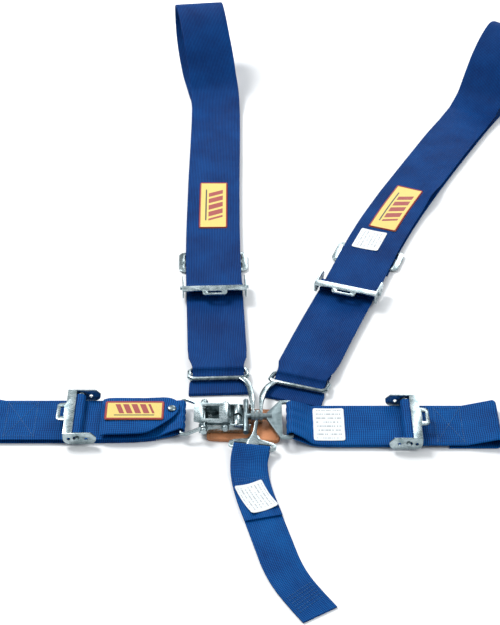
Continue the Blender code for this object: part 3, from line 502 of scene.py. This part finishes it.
def sewn_patch(name, node, place, length, width, thick, rim_h=0.0, curl=0.0):
    """A cloth patch with round corners: a badge where it has a raised rim, and else a label.

    place takes (along, across, up). curl lifts the corners.
    """
    columns, rows, corner, rim = 40, 20, 3 * MM, 2.8 * MM
    verts, maps = [], []
    for under in (False, True):
        for i in range(columns + 1):
            for j in range(rows + 1):
                a, b = (i / columns - 0.5), (j / rows - 0.5)
                a = 0.5 * math.copysign(1 - (1 - 2 * abs(a)) ** 1.35, a)
                b = 0.5 * math.copysign(1 - (1 - 2 * abs(b)) ** 1.35, b)
                along, across = a * length, b * width
                over_a = abs(along) - (length / 2 - corner)
                over_b = abs(across) - (width / 2 - corner)
                if over_a > 0 and over_b > 0:
                    reach = math.hypot(over_a, over_b)
                    pull = max(over_a, over_b) / reach if reach else 1.0
                    along = math.copysign(length / 2 - corner + over_a * pull, along)
                    across = math.copysign(width / 2 - corner + over_b * pull, across)
                inset = min(length / 2 - abs(a * length), width / 2 - abs(b * width))
                ridge = rim_h * math.sin(math.pi * min(1.0, inset / rim))
                high = 0.0 if under else thick * (0.35 + 0.65 * ease(0, 0.5 * MM, inset)) + ridge
                bend = curl * max(0.0, (abs(2 * a) + abs(2 * b)) / 2 - 0.45) ** 2 / 0.3
                verts.append(place(along, across, high + bend))
                maps.append((a + 0.5, b + 0.5))
    grid = (columns + 1) * (rows + 1)
    faces, rim_faces = [], set()
    for i in range(columns):
        for j in range(rows):
            first = i * (rows + 1) + j
            quad = (first, first + rows + 1, first + rows + 2, first + 1)
            u, v = [(low + high) / 2 for low, high in zip(maps[quad[0]], maps[quad[2]])]
            if rim_h and min((0.5 - abs(u - 0.5)) * length, (0.5 - abs(v - 0.5)) * width) < rim:
                rim_faces.add(len(faces))
            faces += [quad, tuple(grid + index for index in reversed(quad))]
    border = [i * (rows + 1) for i in range(columns)]
    border += [columns * (rows + 1) + j for j in range(rows)]
    border += [i * (rows + 1) + rows for i in range(columns, 0, -1)]
    border += list(range(rows, 0, -1))
    for first, second in zip(border, border[1:] + border[:1]):
        faces.append((first, second, grid + second, grid + first))
    obj = add_piece(name, verts, faces,
                    finish("Satin-stitched twill" if rim_h else "Printed satin"), {"patch": maps})
    if rim_h:
        obj.data.materials.append(finish("Nylon thread, red"))
        for index in rim_faces:
            obj.data.polygons[index].material_index = 1
    stand_for(obj, node)


def stamped(node, material, bevel):
    """A frame node's own shape as one clean mesh with its sharp edges tumbled round."""
    mesh = frame["nodes"][node].data.copy()
    obj = put(node + "_steel", mesh)
    bm = bmesh.new()
    bm.from_mesh(mesh)
    bmesh.ops.remove_doubles(bm, verts=bm.verts, dist=2e-6)
    bmesh.ops.dissolve_limit(bm, angle_limit=math.radians(4), verts=bm.verts, edges=bm.edges)
    bm.to_mesh(mesh)
    bm.free()
    mesh.materials.clear()
    mesh.materials.append(material)
    rounding = obj.modifiers.new("tumbled edges", "BEVEL")
    rounding.width = bevel
    rounding.segments = 3
    rounding.limit_method = "ANGLE"
    rounding.angle_limit = math.radians(35)
    rounding.use_clamp_overlap = True
    finish_modifiers(obj)
    obj.data.shade_smooth()
    obj.data.set_sharp_from_angle(angle=math.radians(42))
    stand_for(obj, node)


def bent_bar(name, points, widths, thick, material):
    """A flat bar with round edges along a path, which keeps its flat side up."""
    verts, segments = [], 8
    for index, point in enumerate(points):
        before, after = points[max(0, index - 1)], points[min(len(points) - 1, index + 1)]
        along = (after - before).normalized()
        side = along.cross(Vector((0.0, 0.0, 1.0))).normalized()
        up = side.cross(along).normalized()
        for step in range(segments * 2):
            angle = math.pi * step / segments
            x = math.copysign(abs(math.cos(angle)) ** 0.45, math.cos(angle))
            y = math.copysign(abs(math.sin(angle)) ** 0.45, math.sin(angle))
            verts.append(point + side * (x * widths[index] / 2) + up * (y * thick / 2))
    return add_piece(name, verts, tube_faces(len(points), segments * 2), material)


def stitch_rule():
    """Geometry Nodes that lay a thread capsule every pitch along a seam line."""
    tree = bpy.data.node_groups.new("Seam stitches", "GeometryNodeTree")
    tree.interface.new_socket("Seam", in_out="INPUT", socket_type="NodeSocketGeometry")
    for label in ("Pitch", "Stitch length", "Thread radius"):
        tree.interface.new_socket(label, in_out="INPUT", socket_type="NodeSocketFloat")
    tree.interface.new_socket("Thread", in_out="INPUT", socket_type="NodeSocketMaterial")
    tree.interface.new_socket("Stitches", in_out="OUTPUT", socket_type="NodeSocketGeometry")
    given = add(tree, "NodeGroupInput")
    line = add(tree, "GeometryNodeMeshToCurve", {"Mesh": given.outputs["Seam"]})
    spaced = add(tree, "GeometryNodeResampleCurve",
                 {"Curve": line, "Length": given.outputs["Pitch"]}, mode="LENGTH")
    turn = add(tree, "FunctionNodeAlignRotationToVector",
               {"Vector": add(tree, "GeometryNodeInputTangent")}, axis="X")
    capsule = add(tree, "GeometryNodeMeshUVSphere", {"Segments": 8, "Rings": 5, "Radius": 1.0})
    scale = add(tree, "ShaderNodeCombineXYZ",
                {"X": add(tree, "MULTIPLY", {0: given.outputs["Stitch length"], 1: 0.5}),
                 "Y": given.outputs["Thread radius"], "Z": given.outputs["Thread radius"]})
    laid = add(tree, "GeometryNodeInstanceOnPoints",
               {"Points": spaced, "Instance": capsule, "Rotation": turn, "Scale": scale})
    real = add(tree, "GeometryNodeRealizeInstances", {"Geometry": laid})
    smooth_faces = add(tree, "GeometryNodeSetShadeSmooth", {"Geometry": real})
    painted = add(tree, "GeometryNodeSetMaterial",
                  {"Geometry": smooth_faces, "Material": given.outputs["Thread"]})
    tree.links.new(painted.outputs["Geometry"], add(tree, "NodeGroupOutput").inputs["Stitches"])
    return tree


def seam(name, body, tree, lines, pitch, length, radius, material):
    """Stitches one body's seam lines, each a list of points on the cloth."""
    verts, edges = [], []
    for line in lines:
        edges += [(len(verts) + i, len(verts) + i + 1) for i in range(len(line) - 1)]
        verts += [tuple(point) for point in line]
    mesh = bpy.data.meshes.new(name)
    mesh.from_pydata(verts, edges, [])
    obj = put(name, mesh)
    rule = obj.modifiers.new("stitches", "NODES")
    rule.node_group = tree
    values = {"Pitch": pitch, "Stitch length": length, "Thread radius": radius, "Thread": material}
    for item in tree.interface.items_tree:
        if item.in_out == "INPUT" and item.name in values:
            rule[item.identifier] = values[item.name]
    finish_modifiers(obj)
    if not obj.data.polygons:
        raise RuntimeError(name + " has no stitches")
    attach(obj, body)


# ---------------------------------------------------------------- settings
class HarnessSizes(bpy.types.PropertyGroup):
    """The fine sizes that dress the harness. The frame fixes the large ones."""

    lap_weft: FloatProperty(
        name="Lap weft", default=0.0026, min=0.001, max=0.008, unit="LENGTH",
        description="Spacing of the drawn cross rows of the lap webbing")
    shoulder_rib: FloatProperty(
        name="Shoulder rib", default=0.0023, min=0.001, max=0.008, unit="LENGTH",
        description="Spacing of the drawn ribs of the shoulder webbing")
    tumbled_edge: FloatProperty(
        name="Tumbled edge", default=0.0005, min=0.0001, max=0.001, unit="LENGTH",
        description="Rounding of the stamped steel's edges")
    stitch_pitch: FloatProperty(
        name="Stitch pitch", default=0.0034, min=0.002, max=0.01, unit="LENGTH",
        description="Distance from one stitch to the next")
    stitch_length: FloatProperty(
        name="Stitch length", default=0.0028, min=0.001, max=0.009, unit="LENGTH",
        description="Length of the thread that shows")
    thread_radius: FloatProperty(
        name="Thread radius", default=0.00042, min=0.0002, max=0.001, unit="LENGTH",
        description="Radius of the sewing thread")


class HarnessColours(bpy.types.PropertyGroup):
    """The colours of the harness's finishes."""

    # Painted shade: the dark blue of the hollows between the ribs.
    webbing_painted_shade: FloatVectorProperty(
        name="Webbing, painted shade", subtype="COLOR", size=4, min=0, max=1, default=linear("#001540"),
        description="Blue between the ribs of the webbing")
    webbing: FloatVectorProperty(
        name="Webbing", subtype="COLOR", size=4, min=0, max=1, default=linear("#013a79"),
        description="Blue of the webbing")
    # Painted highlight: the light blue on top of the ribs.
    webbing_painted_highlight: FloatVectorProperty(
        name="Webbing, painted highlight", subtype="COLOR", size=4, min=0, max=1, default=linear("#0560a6"),
        description="Blue on top of the ribs")
    zinc: FloatVectorProperty(
        name="Zinc", subtype="COLOR", size=4, min=0, max=1, default=linear("#b3c0c3"),
        description="Bright zinc plate")
    zinc_dull: FloatVectorProperty(
        name="Dull zinc", subtype="COLOR", size=4, min=0, max=1, default=linear("#7f9094"),
        description="Clouded zinc plate")
    leather: FloatVectorProperty(
        name="Leather", subtype="COLOR", size=4, min=0, max=1, default=linear("#c9855a"),
        description="Saddle leather")
    patch: FloatVectorProperty(
        name="Patch field", subtype="COLOR", size=4, min=0, max=1, default=linear("#e6cd66"),
        description="Yellow of the patches")
    patch_mark: FloatVectorProperty(
        name="Patch rim and bars", subtype="COLOR", size=4, min=0, max=1,
        default=linear("#a02a22"), description="Red of the patches")
    label: FloatVectorProperty(
        name="Label", subtype="COLOR", size=4, min=0, max=1, default=linear("#dfe3e4"),
        description="White satin labels")


# ---------------------------------------------------------------- operators
class HARNESS_OT_finishes(bpy.types.Operator):
    """Mix the webbing, zinc, leather, thread, patch and label finishes"""

    bl_idname = "harness.finishes"
    bl_label = "Mix the finishes"

    def execute(self, context):
        colors, sizes = context.scene.harness_colours, context.scene.harness_sizes
        blues = [tuple(colors.webbing_painted_shade), tuple(colors.webbing), tuple(colors.webbing_painted_highlight)]
        polyester_webbing("Lap webbing, polyester", 3.4 * MM, sizes.lap_weft, 0.30, blues)
        deeper = [(blue[0], blue[1] * 0.56, blue[2] * 0.66, 1.0) for blue in blues]
        polyester_webbing("Shoulder webbing, polyester", sizes.shoulder_rib, 2.2 * MM, 0.72,
                          deeper)
        polyester_webbing("Crotch webbing, polyester", sizes.shoulder_rib, 2.4 * MM, 0.55, blues)
        zinc_plate("Zinc plate, bright", 0.24, [tuple(colors.zinc_dull), tuple(colors.zinc)])
        zinc_plate("Zinc plate, worn", 0.36, [linear("#66757a"), linear("#8e9ea2")])
        leather = tuple(colors.leather)
        saddle_leather("Saddle leather", [toned(leather, 0.72), leather, toned(leather, 1.2)])
        nylon_thread("Nylon thread, blue", linear("#2b639c"))
        nylon_thread("Nylon thread, tan", linear("#d8a57a"))
        nylon_thread("Nylon thread, red", tuple(colors.patch_mark))
        satin_stitch("Satin-stitched twill", tuple(colors.patch), tuple(colors.patch_mark),
                     linear("#2a2420"))
        label_satin("Printed satin", tuple(colors.label), linear("#868f96"))
        return {"FINISHED"}


class HARNESS_OT_lap_belts(bpy.types.Operator):
    """Weave both lap belts, with their folds round the buckle bars and the chassis"""

    bl_idname = "harness.lap_belts"
    bl_label = "Lap belts"

    def execute(self, context):
        cloth, wrap_r = finish("Lap webbing, polyester"), 7 * MM
        for side, line, reach, bar_z, bar_r, tail_s in (
                ("left", LEFT_LAP, 0.261, TONGUE_Z - 4 * MM, 2.4 * MM, 0.030),
                ("right", RIGHT_LAP, 0.253, TONGUE_Z, 3.0 * MM, 0.190)):
            adjuster_s = ADJUSTER_S[side + "_lap"]
            top, low = LAYER[2], LAYER[1]
            radius = bar_r + 0.9 * MM + WEB_T / 2
            end = adjuster_s - GAP / 2
            tight = {"left": 0.72, "right": GATHER}[side]
            draw = {"left": ((0.075, 1.0), (0.055, 0.985), (0.040, 0.94), (0.027, 0.87)),
                    "right": ((0.075, 1.0), (0.050, 1.0), (0.035, 0.99), (0.025, 0.95))}[side]
            inner = [(end, top), *[(s, top + (0.0008 if s < 0.03 else 0.0), share)
                                   for s, share in draw],
                     (0.015, (top + bar_z) / 2 + 0.003, draw[3][1] - 0.07)]
            inner += [(s, z, tight) for s, z in arc((0.0, bar_z), radius, 75, 285)]
            inner += [(0.015, (low + bar_z) / 2 - 0.003, draw[3][1] - 0.07),
                      *[(s, low, share) for s, share in reversed(draw)], (end, low)]
            webbing(side + "_lap_sewn_loop", side + "_lap_inner_strap", line.place, inner, LAP_W,
                    cloth)
            end_s = reach - wrap_r
            outer = [(adjuster_s + GAP / 2, top), (end_s - 0.035, top)]
            outer += arc((end_s, LAYER[0] + wrap_r), wrap_r, 70, -90)
            outer += [(end_s - 0.030, LAYER[0]), (max(0.110, tail_s + 0.01), LAYER[0])]
            if side == "left":
                outer += [(s, LAYER[0], share) for s, share in
                          ((0.075, 0.985), (0.055, 0.96), (0.040, 0.915))]
            outer += [(tail_s, LAYER[0], 0.87 if side == "left" else 1.0)]
            webbing(side + "_lap_wrap", side + "_lap_outer_strap", line.place, outer, LAP_W, cloth)
        top = LAP_TOP + GAP + WEB_T / 2
        start = ADJUSTER_S["left_lap"] - 0.033
        flap = smooth([(start, top + 0.0055, 0.96), (start - 0.010, top + 0.0080, 0.95),
                       (start - 0.040, top + 0.0085, 0.92), (0.040, top + 0.0085, 0.88),
                       (0.026, top + 0.0087, 0.74), (0.014, top + 0.0090, 0.56),
                       (0.006, top + 0.0099, 0.34), (0.003, top + 0.0107, 0.16)], 8)

        def pocket(s, v, z):
            """Both edges of the flap droop, its middle bulges nearer, its tip lies farther."""
            shift = 0.010 * ease(0.050, 0.0, s)
            droop = 3.4 * MM * min(1.0, abs(v) / (LAP_W / 2)) ** 3 * (1.6 if v > 0 else 0.9)
            droop *= ease(0.0, 0.035, s)
            bow = 5.0 * MM * math.sin(math.pi * min(1.0, max(0.0, (s - 0.02) / 0.08)))
            return LEFT_LAP.place(s, v * (1 + (0.0 if v > 0 else bow * 9)) + shift, z - droop)

        webbing("left_lap_free_end", "left_lap_flap", pocket, [tuple(point) for point in flap],
                LAP_W, cloth, step=3 * MM, held="laid", pleats=0)
        return {"FINISHED"}


class HARNESS_OT_shoulder_belts(bpy.types.Operator):
    """Weave both shoulder belts, from the buckle fitting to the standing loop and back"""

    bl_idname = "harness.shoulder_belts"
    bl_label = "Shoulder belts"

    def execute(self, context):
        cloth = finish("Shoulder webbing, polyester")
        bar_s, tail_s, bar_z, fold_r = 0.028, -0.018, 5.4 * MM, 5.0 * MM
        for side, line in SHOULDER.items():
            split = ADJUSTER_S[side + "_shoulder"]
            lower = [(split - GAP / 2, FRONT_Z), (bar_s + 0.040, FRONT_Z),
                     (bar_s + 0.018, bar_z + fold_r, 0.975), (bar_s + 0.008, bar_z + fold_r, 0.90)]
            lower += [(s, z, 0.86) for s, z in arc((bar_s, bar_z), fold_r, 90, 150, 6)]
            lower += [(0.015, LAYER[1] + 0.0004, 0.86), (0.003, LAYER[1], 0.97)]
            lower += [(s, z, 1.0) for s, z in
                      arc((tail_s, (LAYER[0] + LAYER[1]) / 2), (LAYER[1] - LAYER[0]) / 2, 90, 270,
                          10)]
            lower += [(0.003, LAYER[0], 0.97), (0.015, LAYER[0], 0.86),
                      (bar_s + 0.020, LAYER[0], 0.86)]
            webbing(side + "_shoulder_lower_belt", side + "_shoulder_lower_strap", line.place,
                    lower, SHOULDER_W, cloth)
            rise, stretch = RISE[side]
            hook = SLIDE_S[side]
            upper = [(split + GAP / 2, FRONT_Z), (rise - 0.040, FRONT_Z)]
            upper += [tuple(p) for p in smooth([(rise + stretch * along, z)
                                                for along, z in TOP_LOOP], 6)]
            upper += [(rise - 0.024, LAYER[0]), (hook + 0.0078, LAYER[0]), (hook + 0.0058, 0.0056),
                      (hook - 0.0058, 0.0056), (hook - 0.0078, LAYER[0]), (hook - 0.035, LAYER[0])]
            webbing(side + "_shoulder_upper_belt", side + "_shoulder_upper_strap", line.place,
                    upper, SHOULDER_W, cloth, shoulder_wave(side), 8 * MM)
        return {"FINISHED"}


class HARNESS_OT_crotch_belt(bpy.types.Operator):
    """Weave the narrow crotch belt and its sewn fold"""

    bl_idname = "harness.crotch_belt"
    bl_label = "Crotch belt"

    def execute(self, context):
        bar_z = TONGUE_Z - 6 * MM
        profile = [(0.120, LAYER[1]), (0.055, LAYER[1]), (0.022, LAYER[1] + 0.003)]
        profile += arc((0.0, bar_z), 3.8 * MM, 80, 280, 14)
        profile += [(0.022, LAYER[0] + 0.0022), (0.055, LAYER[0]), (0.284, LAYER[0])]
        webbing("crotch_webbing", "crotch_strap", CROTCH.place, profile, CROTCH_W,
                finish("Crotch webbing, polyester"), held="laid")
        return {"FINISHED"}


class HARNESS_OT_adjuster_folds(bpy.types.Operator):
    """Weave the fold of webbing round the lock bar of each adjuster"""

    bl_idname = "harness.adjuster_folds"
    bl_label = "Adjuster folds"

    def execute(self, context):
        bar_s, radius = -6 * MM, 4.2 * MM
        bar_z = GAP + radius + WEB_T / 2
        for name in ADJUSTER_S:
            matrix = adjuster_matrix(name)
            cloth = finish("Lap webbing, polyester" if name.endswith("lap")
                           else "Shoulder webbing, polyester")
            fold = [(bar_s + 9 * MM, bar_z + radius)]
            fold += arc((bar_s, bar_z), radius, 90, 270)
            fold += [(bar_s + 9 * MM, bar_z - radius)]
            webbing(name + "_fold", name + "_adjuster_roll",
                    lambda s, v, z: matrix @ Vector((s, -v, z)), fold, LAP_W, cloth)
        return {"FINISHED"}


class HARNESS_OT_hardware(bpy.types.Operator):
    """Round and plate the stamped steel of the buckle, adjusters, slides and fittings"""

    bl_idname = "harness.hardware"
    bl_label = "Hardware"

    def execute(self, context):
        bright, worn = finish("Zinc plate, bright"), finish("Zinc plate, worn")
        edge = context.scene.harness_sizes.tumbled_edge
        for node in ("latch_base", "latch_lever", "catch_roll", "strap_pin", "lever_pin",
                     "strap_wire", "left_shoulder_fitting", "right_shoulder_fitting",
                     "crotch_fitting", "snap_fastener", "link_plate", "left_wrap_slide",
                     "right_wrap_slide", *[name + piece for name in ADJUSTER_S
                                           for piece in ("_adjuster_frame", "_adjuster_lock_bar")]):
            stamped(node, worn if node == "link_plate" else bright, edge)
        first_eye_x, eye_pitch, tongue_r = 3.5 * MM, 4.9 * MM, 4 * MM
        for side, index, sign in (("left", 0, 1), ("right", 2, -1)):
            eye = Vector((first_eye_x + index * eye_pitch, BUCKLE_Y + tongue_r, TONGUE_Z))
            corner = SHOULDER[side].place(0.007, sign * (GATHER * SHOULDER_W / 2 - 2.4 * MM),
                                          FRONT_Z)
            reach = eye - corner
            elbow = Vector((corner.x + reach.x * 0.62, corner.y - 0.016, 9.0 * MM))
            wrist = Vector((corner.x + reach.x * 0.94, eye.y + 0.030, TONGUE_Z))
            path = smooth([corner, elbow, wrist, eye], 9)
            widths = [(7.6 - 3.6 * ease(0.55, 0.95, i / (len(path) - 1))) * MM
                      for i in range(len(path))]
            arm = bent_bar(side + "_fitting_arm", path, widths, 4.3 * MM, bright)
            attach(arm, side + "_shoulder_belt")
        eye = Vector((first_eye_x + eye_pitch, BUCKLE_Y - tongue_r, TONGUE_Z))
        foot = CROTCH.place(-6.75 * MM, 0.0, TONGUE_Z - 6 * MM)
        heel = foot + (eye - foot) * 0.34
        path = smooth([foot - (eye - foot) * 0.04, heel, heel.lerp(eye, 0.5), eye], 6)
        widths = [(15 - 10.8 * ease(0.0, 0.55, i / (len(path) - 1))) * MM
                  for i in range(len(path))]
        neck = bent_bar("crotch_fitting_neck", path, widths, 2.6 * MM, bright)
        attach(neck, BODY_OF["crotch_fitting"])
        return {"FINISHED"}


class HARNESS_OT_leather_pad(bpy.types.Operator):
    """Cut the leather pad that keeps the buckle off the driver, with its domed edge"""

    bl_idname = "harness.leather_pad"
    bl_label = "Leather pad"

    def execute(self, context):
        length, width, squareness, around = 89 * MM, 61 * MM, 14, 96
        turn = (Matrix.Translation((-7 * MM, 7 * MM, 0.0))
                @ Matrix.Rotation(math.radians(-3), 4, "Z"))

        def outline(step, inset):
            """A point on the pad's round-cornered outline, drawn in towards the middle."""
            angle = 2 * math.pi * step / around
            cos, sin = math.cos(angle), math.sin(angle)
            reach = (abs(cos / (length / 2)) ** squareness
                     + abs(sin / (width / 2)) ** squareness) ** (-1 / squareness)
            point = Vector((cos * reach, sin * reach, 0.0))
            return point * (1 - inset / point.length)

        verts, rings = [], ((1.1, 0.0), (0.4, 0.25), (0.0, 1.0), (0.0, 3.2), (0.35, 4.2),
                            (1.0, 4.65), (2.2, 4.5), (3.0, 4.1), (3.8, 4.5), (6.0, 4.85))
        for inset, z in rings:  # in mm, from the underside up to the top face
            for step in range(around):
                point = outline(step + 0.5, inset * MM)
                rough = noise.noise(point * 90) * 0.10 * MM if z > 3 else 0.0
                verts.append(turn @ Vector((point.x, point.y, z * MM + rough)))
        pad = add_piece("buckle_backing_pad", verts, tube_faces(len(rings), around),
                        finish("Saddle leather"))
        stand_for(pad, "leather_pad")
        line = [turn @ (outline(step, 3.0 * MM) + Vector((0.0, 0.0, 4.25 * MM)))
                for step in range(around + 1)]
        sizes = context.scene.harness_sizes
        seam("pad_edge_stitches", BODY_OF["leather_pad"],
             stitch_rule(), [line], sizes.stitch_pitch,
             sizes.stitch_length, sizes.thread_radius, finish("Nylon thread, tan"))
        return {"FINISHED"}


class HARNESS_OT_patches(bpy.types.Operator):
    """Sew on the embroidered patches and the white labels"""

    bl_idname = "harness.patches"
    bl_label = "Patches and labels"

    def execute(self, context):
        flap_top = LAP_TOP + GAP + WEB_T / 2 + 9.0 * MM + WEB_T / 2 + GAP

        def on(line, s, v, z, turn=0.0, lift=None):
            """Places a patch whose middle lies on a belt at (s, v), turned in its own plane."""
            cos, sin = math.cos(turn), math.sin(turn)

            def place(along, across, up):
                at_s, at_v = s + along * cos + across * sin, v - along * sin + across * cos
                return line.place(at_s, at_v, z + up + (lift(at_s, 0.0) if lift else 0.0))

            return place

        sewn_patch("left_lap_badge", "left_lap_patch", on(LEFT_LAP, 0.057, 0.003, flap_top),
                   0.072, 0.036, 0.6 * MM, rim_h=0.5 * MM)
        for side, s in (("left", 0.420), ("right", 0.455)):
            sewn_patch(side + "_shoulder_badge", side + "_shoulder_patch",
                       on(SHOULDER[side], s, 0.0, FRONT_TOP + GAP, 0.0, shoulder_wave(side)),
                       0.124, 0.041, 0.8 * MM, rim_h=0.7 * MM)
        sewn_patch("right_lap_care_label", "right_lap_label",
                   on(RIGHT_LAP, 0.046, 0.0, LAP_TOP + GAP), 0.038, 0.062, 0.5 * MM,
                   curl=0.5 * MM)
        sewn_patch("right_shoulder_care_label", "right_shoulder_label",
                   on(SHOULDER["right"], 0.360, -8 * MM, FRONT_TOP + GAP, 0.0,
                      shoulder_wave("right")), 0.050, 0.038, 0.5 * MM, curl=0.8 * MM)
        sewn_patch("crotch_care_label", "crotch_label",
                   on(CROTCH, 0.085, 0.0, LAYER[1] + WEB_T / 2 + GAP, math.radians(11)),
                   0.050, 0.034, 0.5 * MM, curl=2.5 * MM)
        return {"FINISHED"}


class HARNESS_OT_stitching(bpy.types.Operator):
    """Sew the box seams, cross rows and bar tacks of the belts"""

    bl_idname = "harness.stitching"
    bl_label = "Stitching"

    def execute(self, context):
        sizes = context.scene.harness_sizes
        thread = finish("Nylon thread, blue")
        tree = stitch_rule()
        lift = 0.15 * MM
        top = LAP_TOP + lift

        def row(line, z, first, second, count=12):
            """A straight seam between two (s, v) places on a belt."""
            return [line.place(first[0] + (second[0] - first[0]) * t / count,
                               first[1] + (second[1] - first[1]) * t / count, z)
                    for t in range(count + 1)]

        def box(line, z, s0, s1, half):
            return [row(line, z, (s0, -half), (s0, half)), row(line, z, (s1, -half), (s1, half)),
                    row(line, z, (s0, -half), (s1, -half)), row(line, z, (s0, half), (s1, half)),
                    row(line, z, (s0, -half), (s1, half)), row(line, z, (s0, half), (s1, -half))]

        lap = box(LEFT_LAP, top, 0.178, 0.214, 0.032) + box(RIGHT_LAP, top, 0.176, 0.208, 0.032)
        crotch_top, tail_top = [LAYER[layer] + WEB_T / 2 + lift for layer in (1, 0)]
        crotch = [row(CROTCH, crotch_top, (s, -0.018), (s, 0.018))
                  for s in (0.030, 0.034, 0.050, 0.054)]
        crotch += [row(CROTCH, tail_top, (s, -0.016), (s + 0.007, 0.016))
                   for s in (0.238, 0.243, 0.248, 0.253, 0.258, 0.263)]
        for name, body, lines in (("lap_seams", ROOT, lap),
                                  ("crotch_seams", BODY_OF["crotch_strap"], crotch)):
            seam(name, body, tree, lines, sizes.stitch_pitch, sizes.stitch_length,
                 sizes.thread_radius, thread)
        return {"FINISHED"}


class HARNESS_OT_stage(bpy.types.Operator):
    """Lay the pale floor and set the soft lights and the camera"""

    bl_idname = "harness.stage"
    bl_label = "Stage"

    def execute(self, context):
        scene = context.scene
        scene.view_settings.view_transform = "Standard"
        paper, tree, shader = start_material("White studio paper", 0.9)
        place = add(tree, "ShaderNodeTexCoord").outputs["Object"]
        tooth = add(tree, "ShaderNodeTexNoise", {"Vector": place, "Scale": 40.0, "Detail": 2.0})
        tone = set_stops(add(tree, "ShaderNodeValToRGB", {"Fac": tooth.outputs["Fac"]}),
                         [(0.0, linear("#f2f3f4")), (1.0, linear("#f6f7f8"))])
        tree.links.new(tone.outputs["Color"], shader.inputs["Base Color"])
        mesh = bpy.data.meshes.new("studio_floor")
        mesh.from_pydata([(x, y, -0.2 * MM) for x, y in ((-6, -6), (6, -6), (6, 6), (-6, 6))],
                         [], [(0, 1, 2, 3)])
        mesh.materials.append(paper)
        put("studio_floor", mesh)

        world = bpy.data.worlds.new("Soft studio")
        world.use_nodes = True
        sky = world.node_tree
        up = add(sky, "ShaderNodeSeparateXYZ",
                 {"Vector": add(sky, "ShaderNodeTexCoord").outputs["Generated"]})
        fade = set_stops(add(sky, "ShaderNodeValToRGB", {"Fac": up.outputs["Z"]}),
                         [(0.0, linear("#3c454a")), (0.30, linear("#6f7a80")),
                          (0.62, linear("#c5ccd0")), (1.0, linear("#f4f6f8"))])
        background = sky.nodes["Background"]
        sky.links.new(fade.outputs["Color"], background.inputs["Color"])
        background.inputs["Strength"].default_value = 0.8
        scene.world = world
        for name, spot, aim, size, power in (
                ("key_softbox", (-1.4, 1.5, 2.2), (0.05, 0.3, 0), 1.3, 78),
                ("fill_softbox", (1.9, -0.6, 1.9), (0.05, 0.2, 0), 1.6, 22),
                ("rim_softbox", (0.6, 2.6, 1.2), (0.05, 0.4, 0), 1.2, 18)):
            light = bpy.data.lights.new(name, "AREA")
            light.shape, light.size, light.energy = "DISK", size, power
            lamp = put(name, light)
            lamp.location = spot
            lamp.rotation_euler = (Vector(aim) - Vector(spot)).to_track_quat("-Z", "Y").to_euler()
        lens = bpy.data.cameras.new("front_camera")
        lens.lens, lens.sensor_width = 99.4, 36.0
        camera = put("front_camera", lens)
        camera.location = (0.0, -1.636, 1.33)
        camera.rotation_euler = (math.radians(54.8), 0.0, 0.0)
        scene.camera = camera
        return {"FINISHED"}


STEPS = (HARNESS_OT_finishes, HARNESS_OT_lap_belts, HARNESS_OT_shoulder_belts,
         HARNESS_OT_crotch_belt, HARNESS_OT_adjuster_folds, HARNESS_OT_hardware,
         HARNESS_OT_leather_pad, HARNESS_OT_patches, HARNESS_OT_stitching, HARNESS_OT_stage)


class HARNESS_PT_panel(bpy.types.Panel):
    """The harness's making steps, sizes and colours"""

    bl_idname = "HARNESS_PT_panel"
    bl_label = "Racing harness"
    bl_space_type = "VIEW_3D"
    bl_region_type = "UI"
    bl_category = "Harness"

    def draw(self, context):
        for group in (context.scene.harness_sizes, context.scene.harness_colours):
            for name in type(group).__annotations__:
                self.layout.prop(group, name)
        for step in STEPS:
            self.layout.operator(step.bl_idname)


CLASSES = (HarnessSizes, HarnessColours, *STEPS, HARNESS_PT_panel)


def register():
    for item in CLASSES:
        bpy.utils.register_class(item)
    bpy.types.Scene.harness_sizes = PointerProperty(type=HarnessSizes)
    bpy.types.Scene.harness_colours = PointerProperty(type=HarnessColours)


def unregister():
    del bpy.types.Scene.harness_colours
    del bpy.types.Scene.harness_sizes
    for item in reversed(CLASSES):
        bpy.utils.unregister_class(item)


def main():
    register()
    bpy.ops.harness.finishes()
    bpy.ops.harness.lap_belts()
    bpy.ops.harness.shoulder_belts()
    bpy.ops.harness.crotch_belt()
    bpy.ops.harness.adjuster_folds()
    bpy.ops.harness.hardware()
    bpy.ops.harness.leather_pad()
    bpy.ops.harness.patches()
    bpy.ops.harness.stitching()
    bpy.ops.harness.stage()


if __name__ == "__main__":
    main()
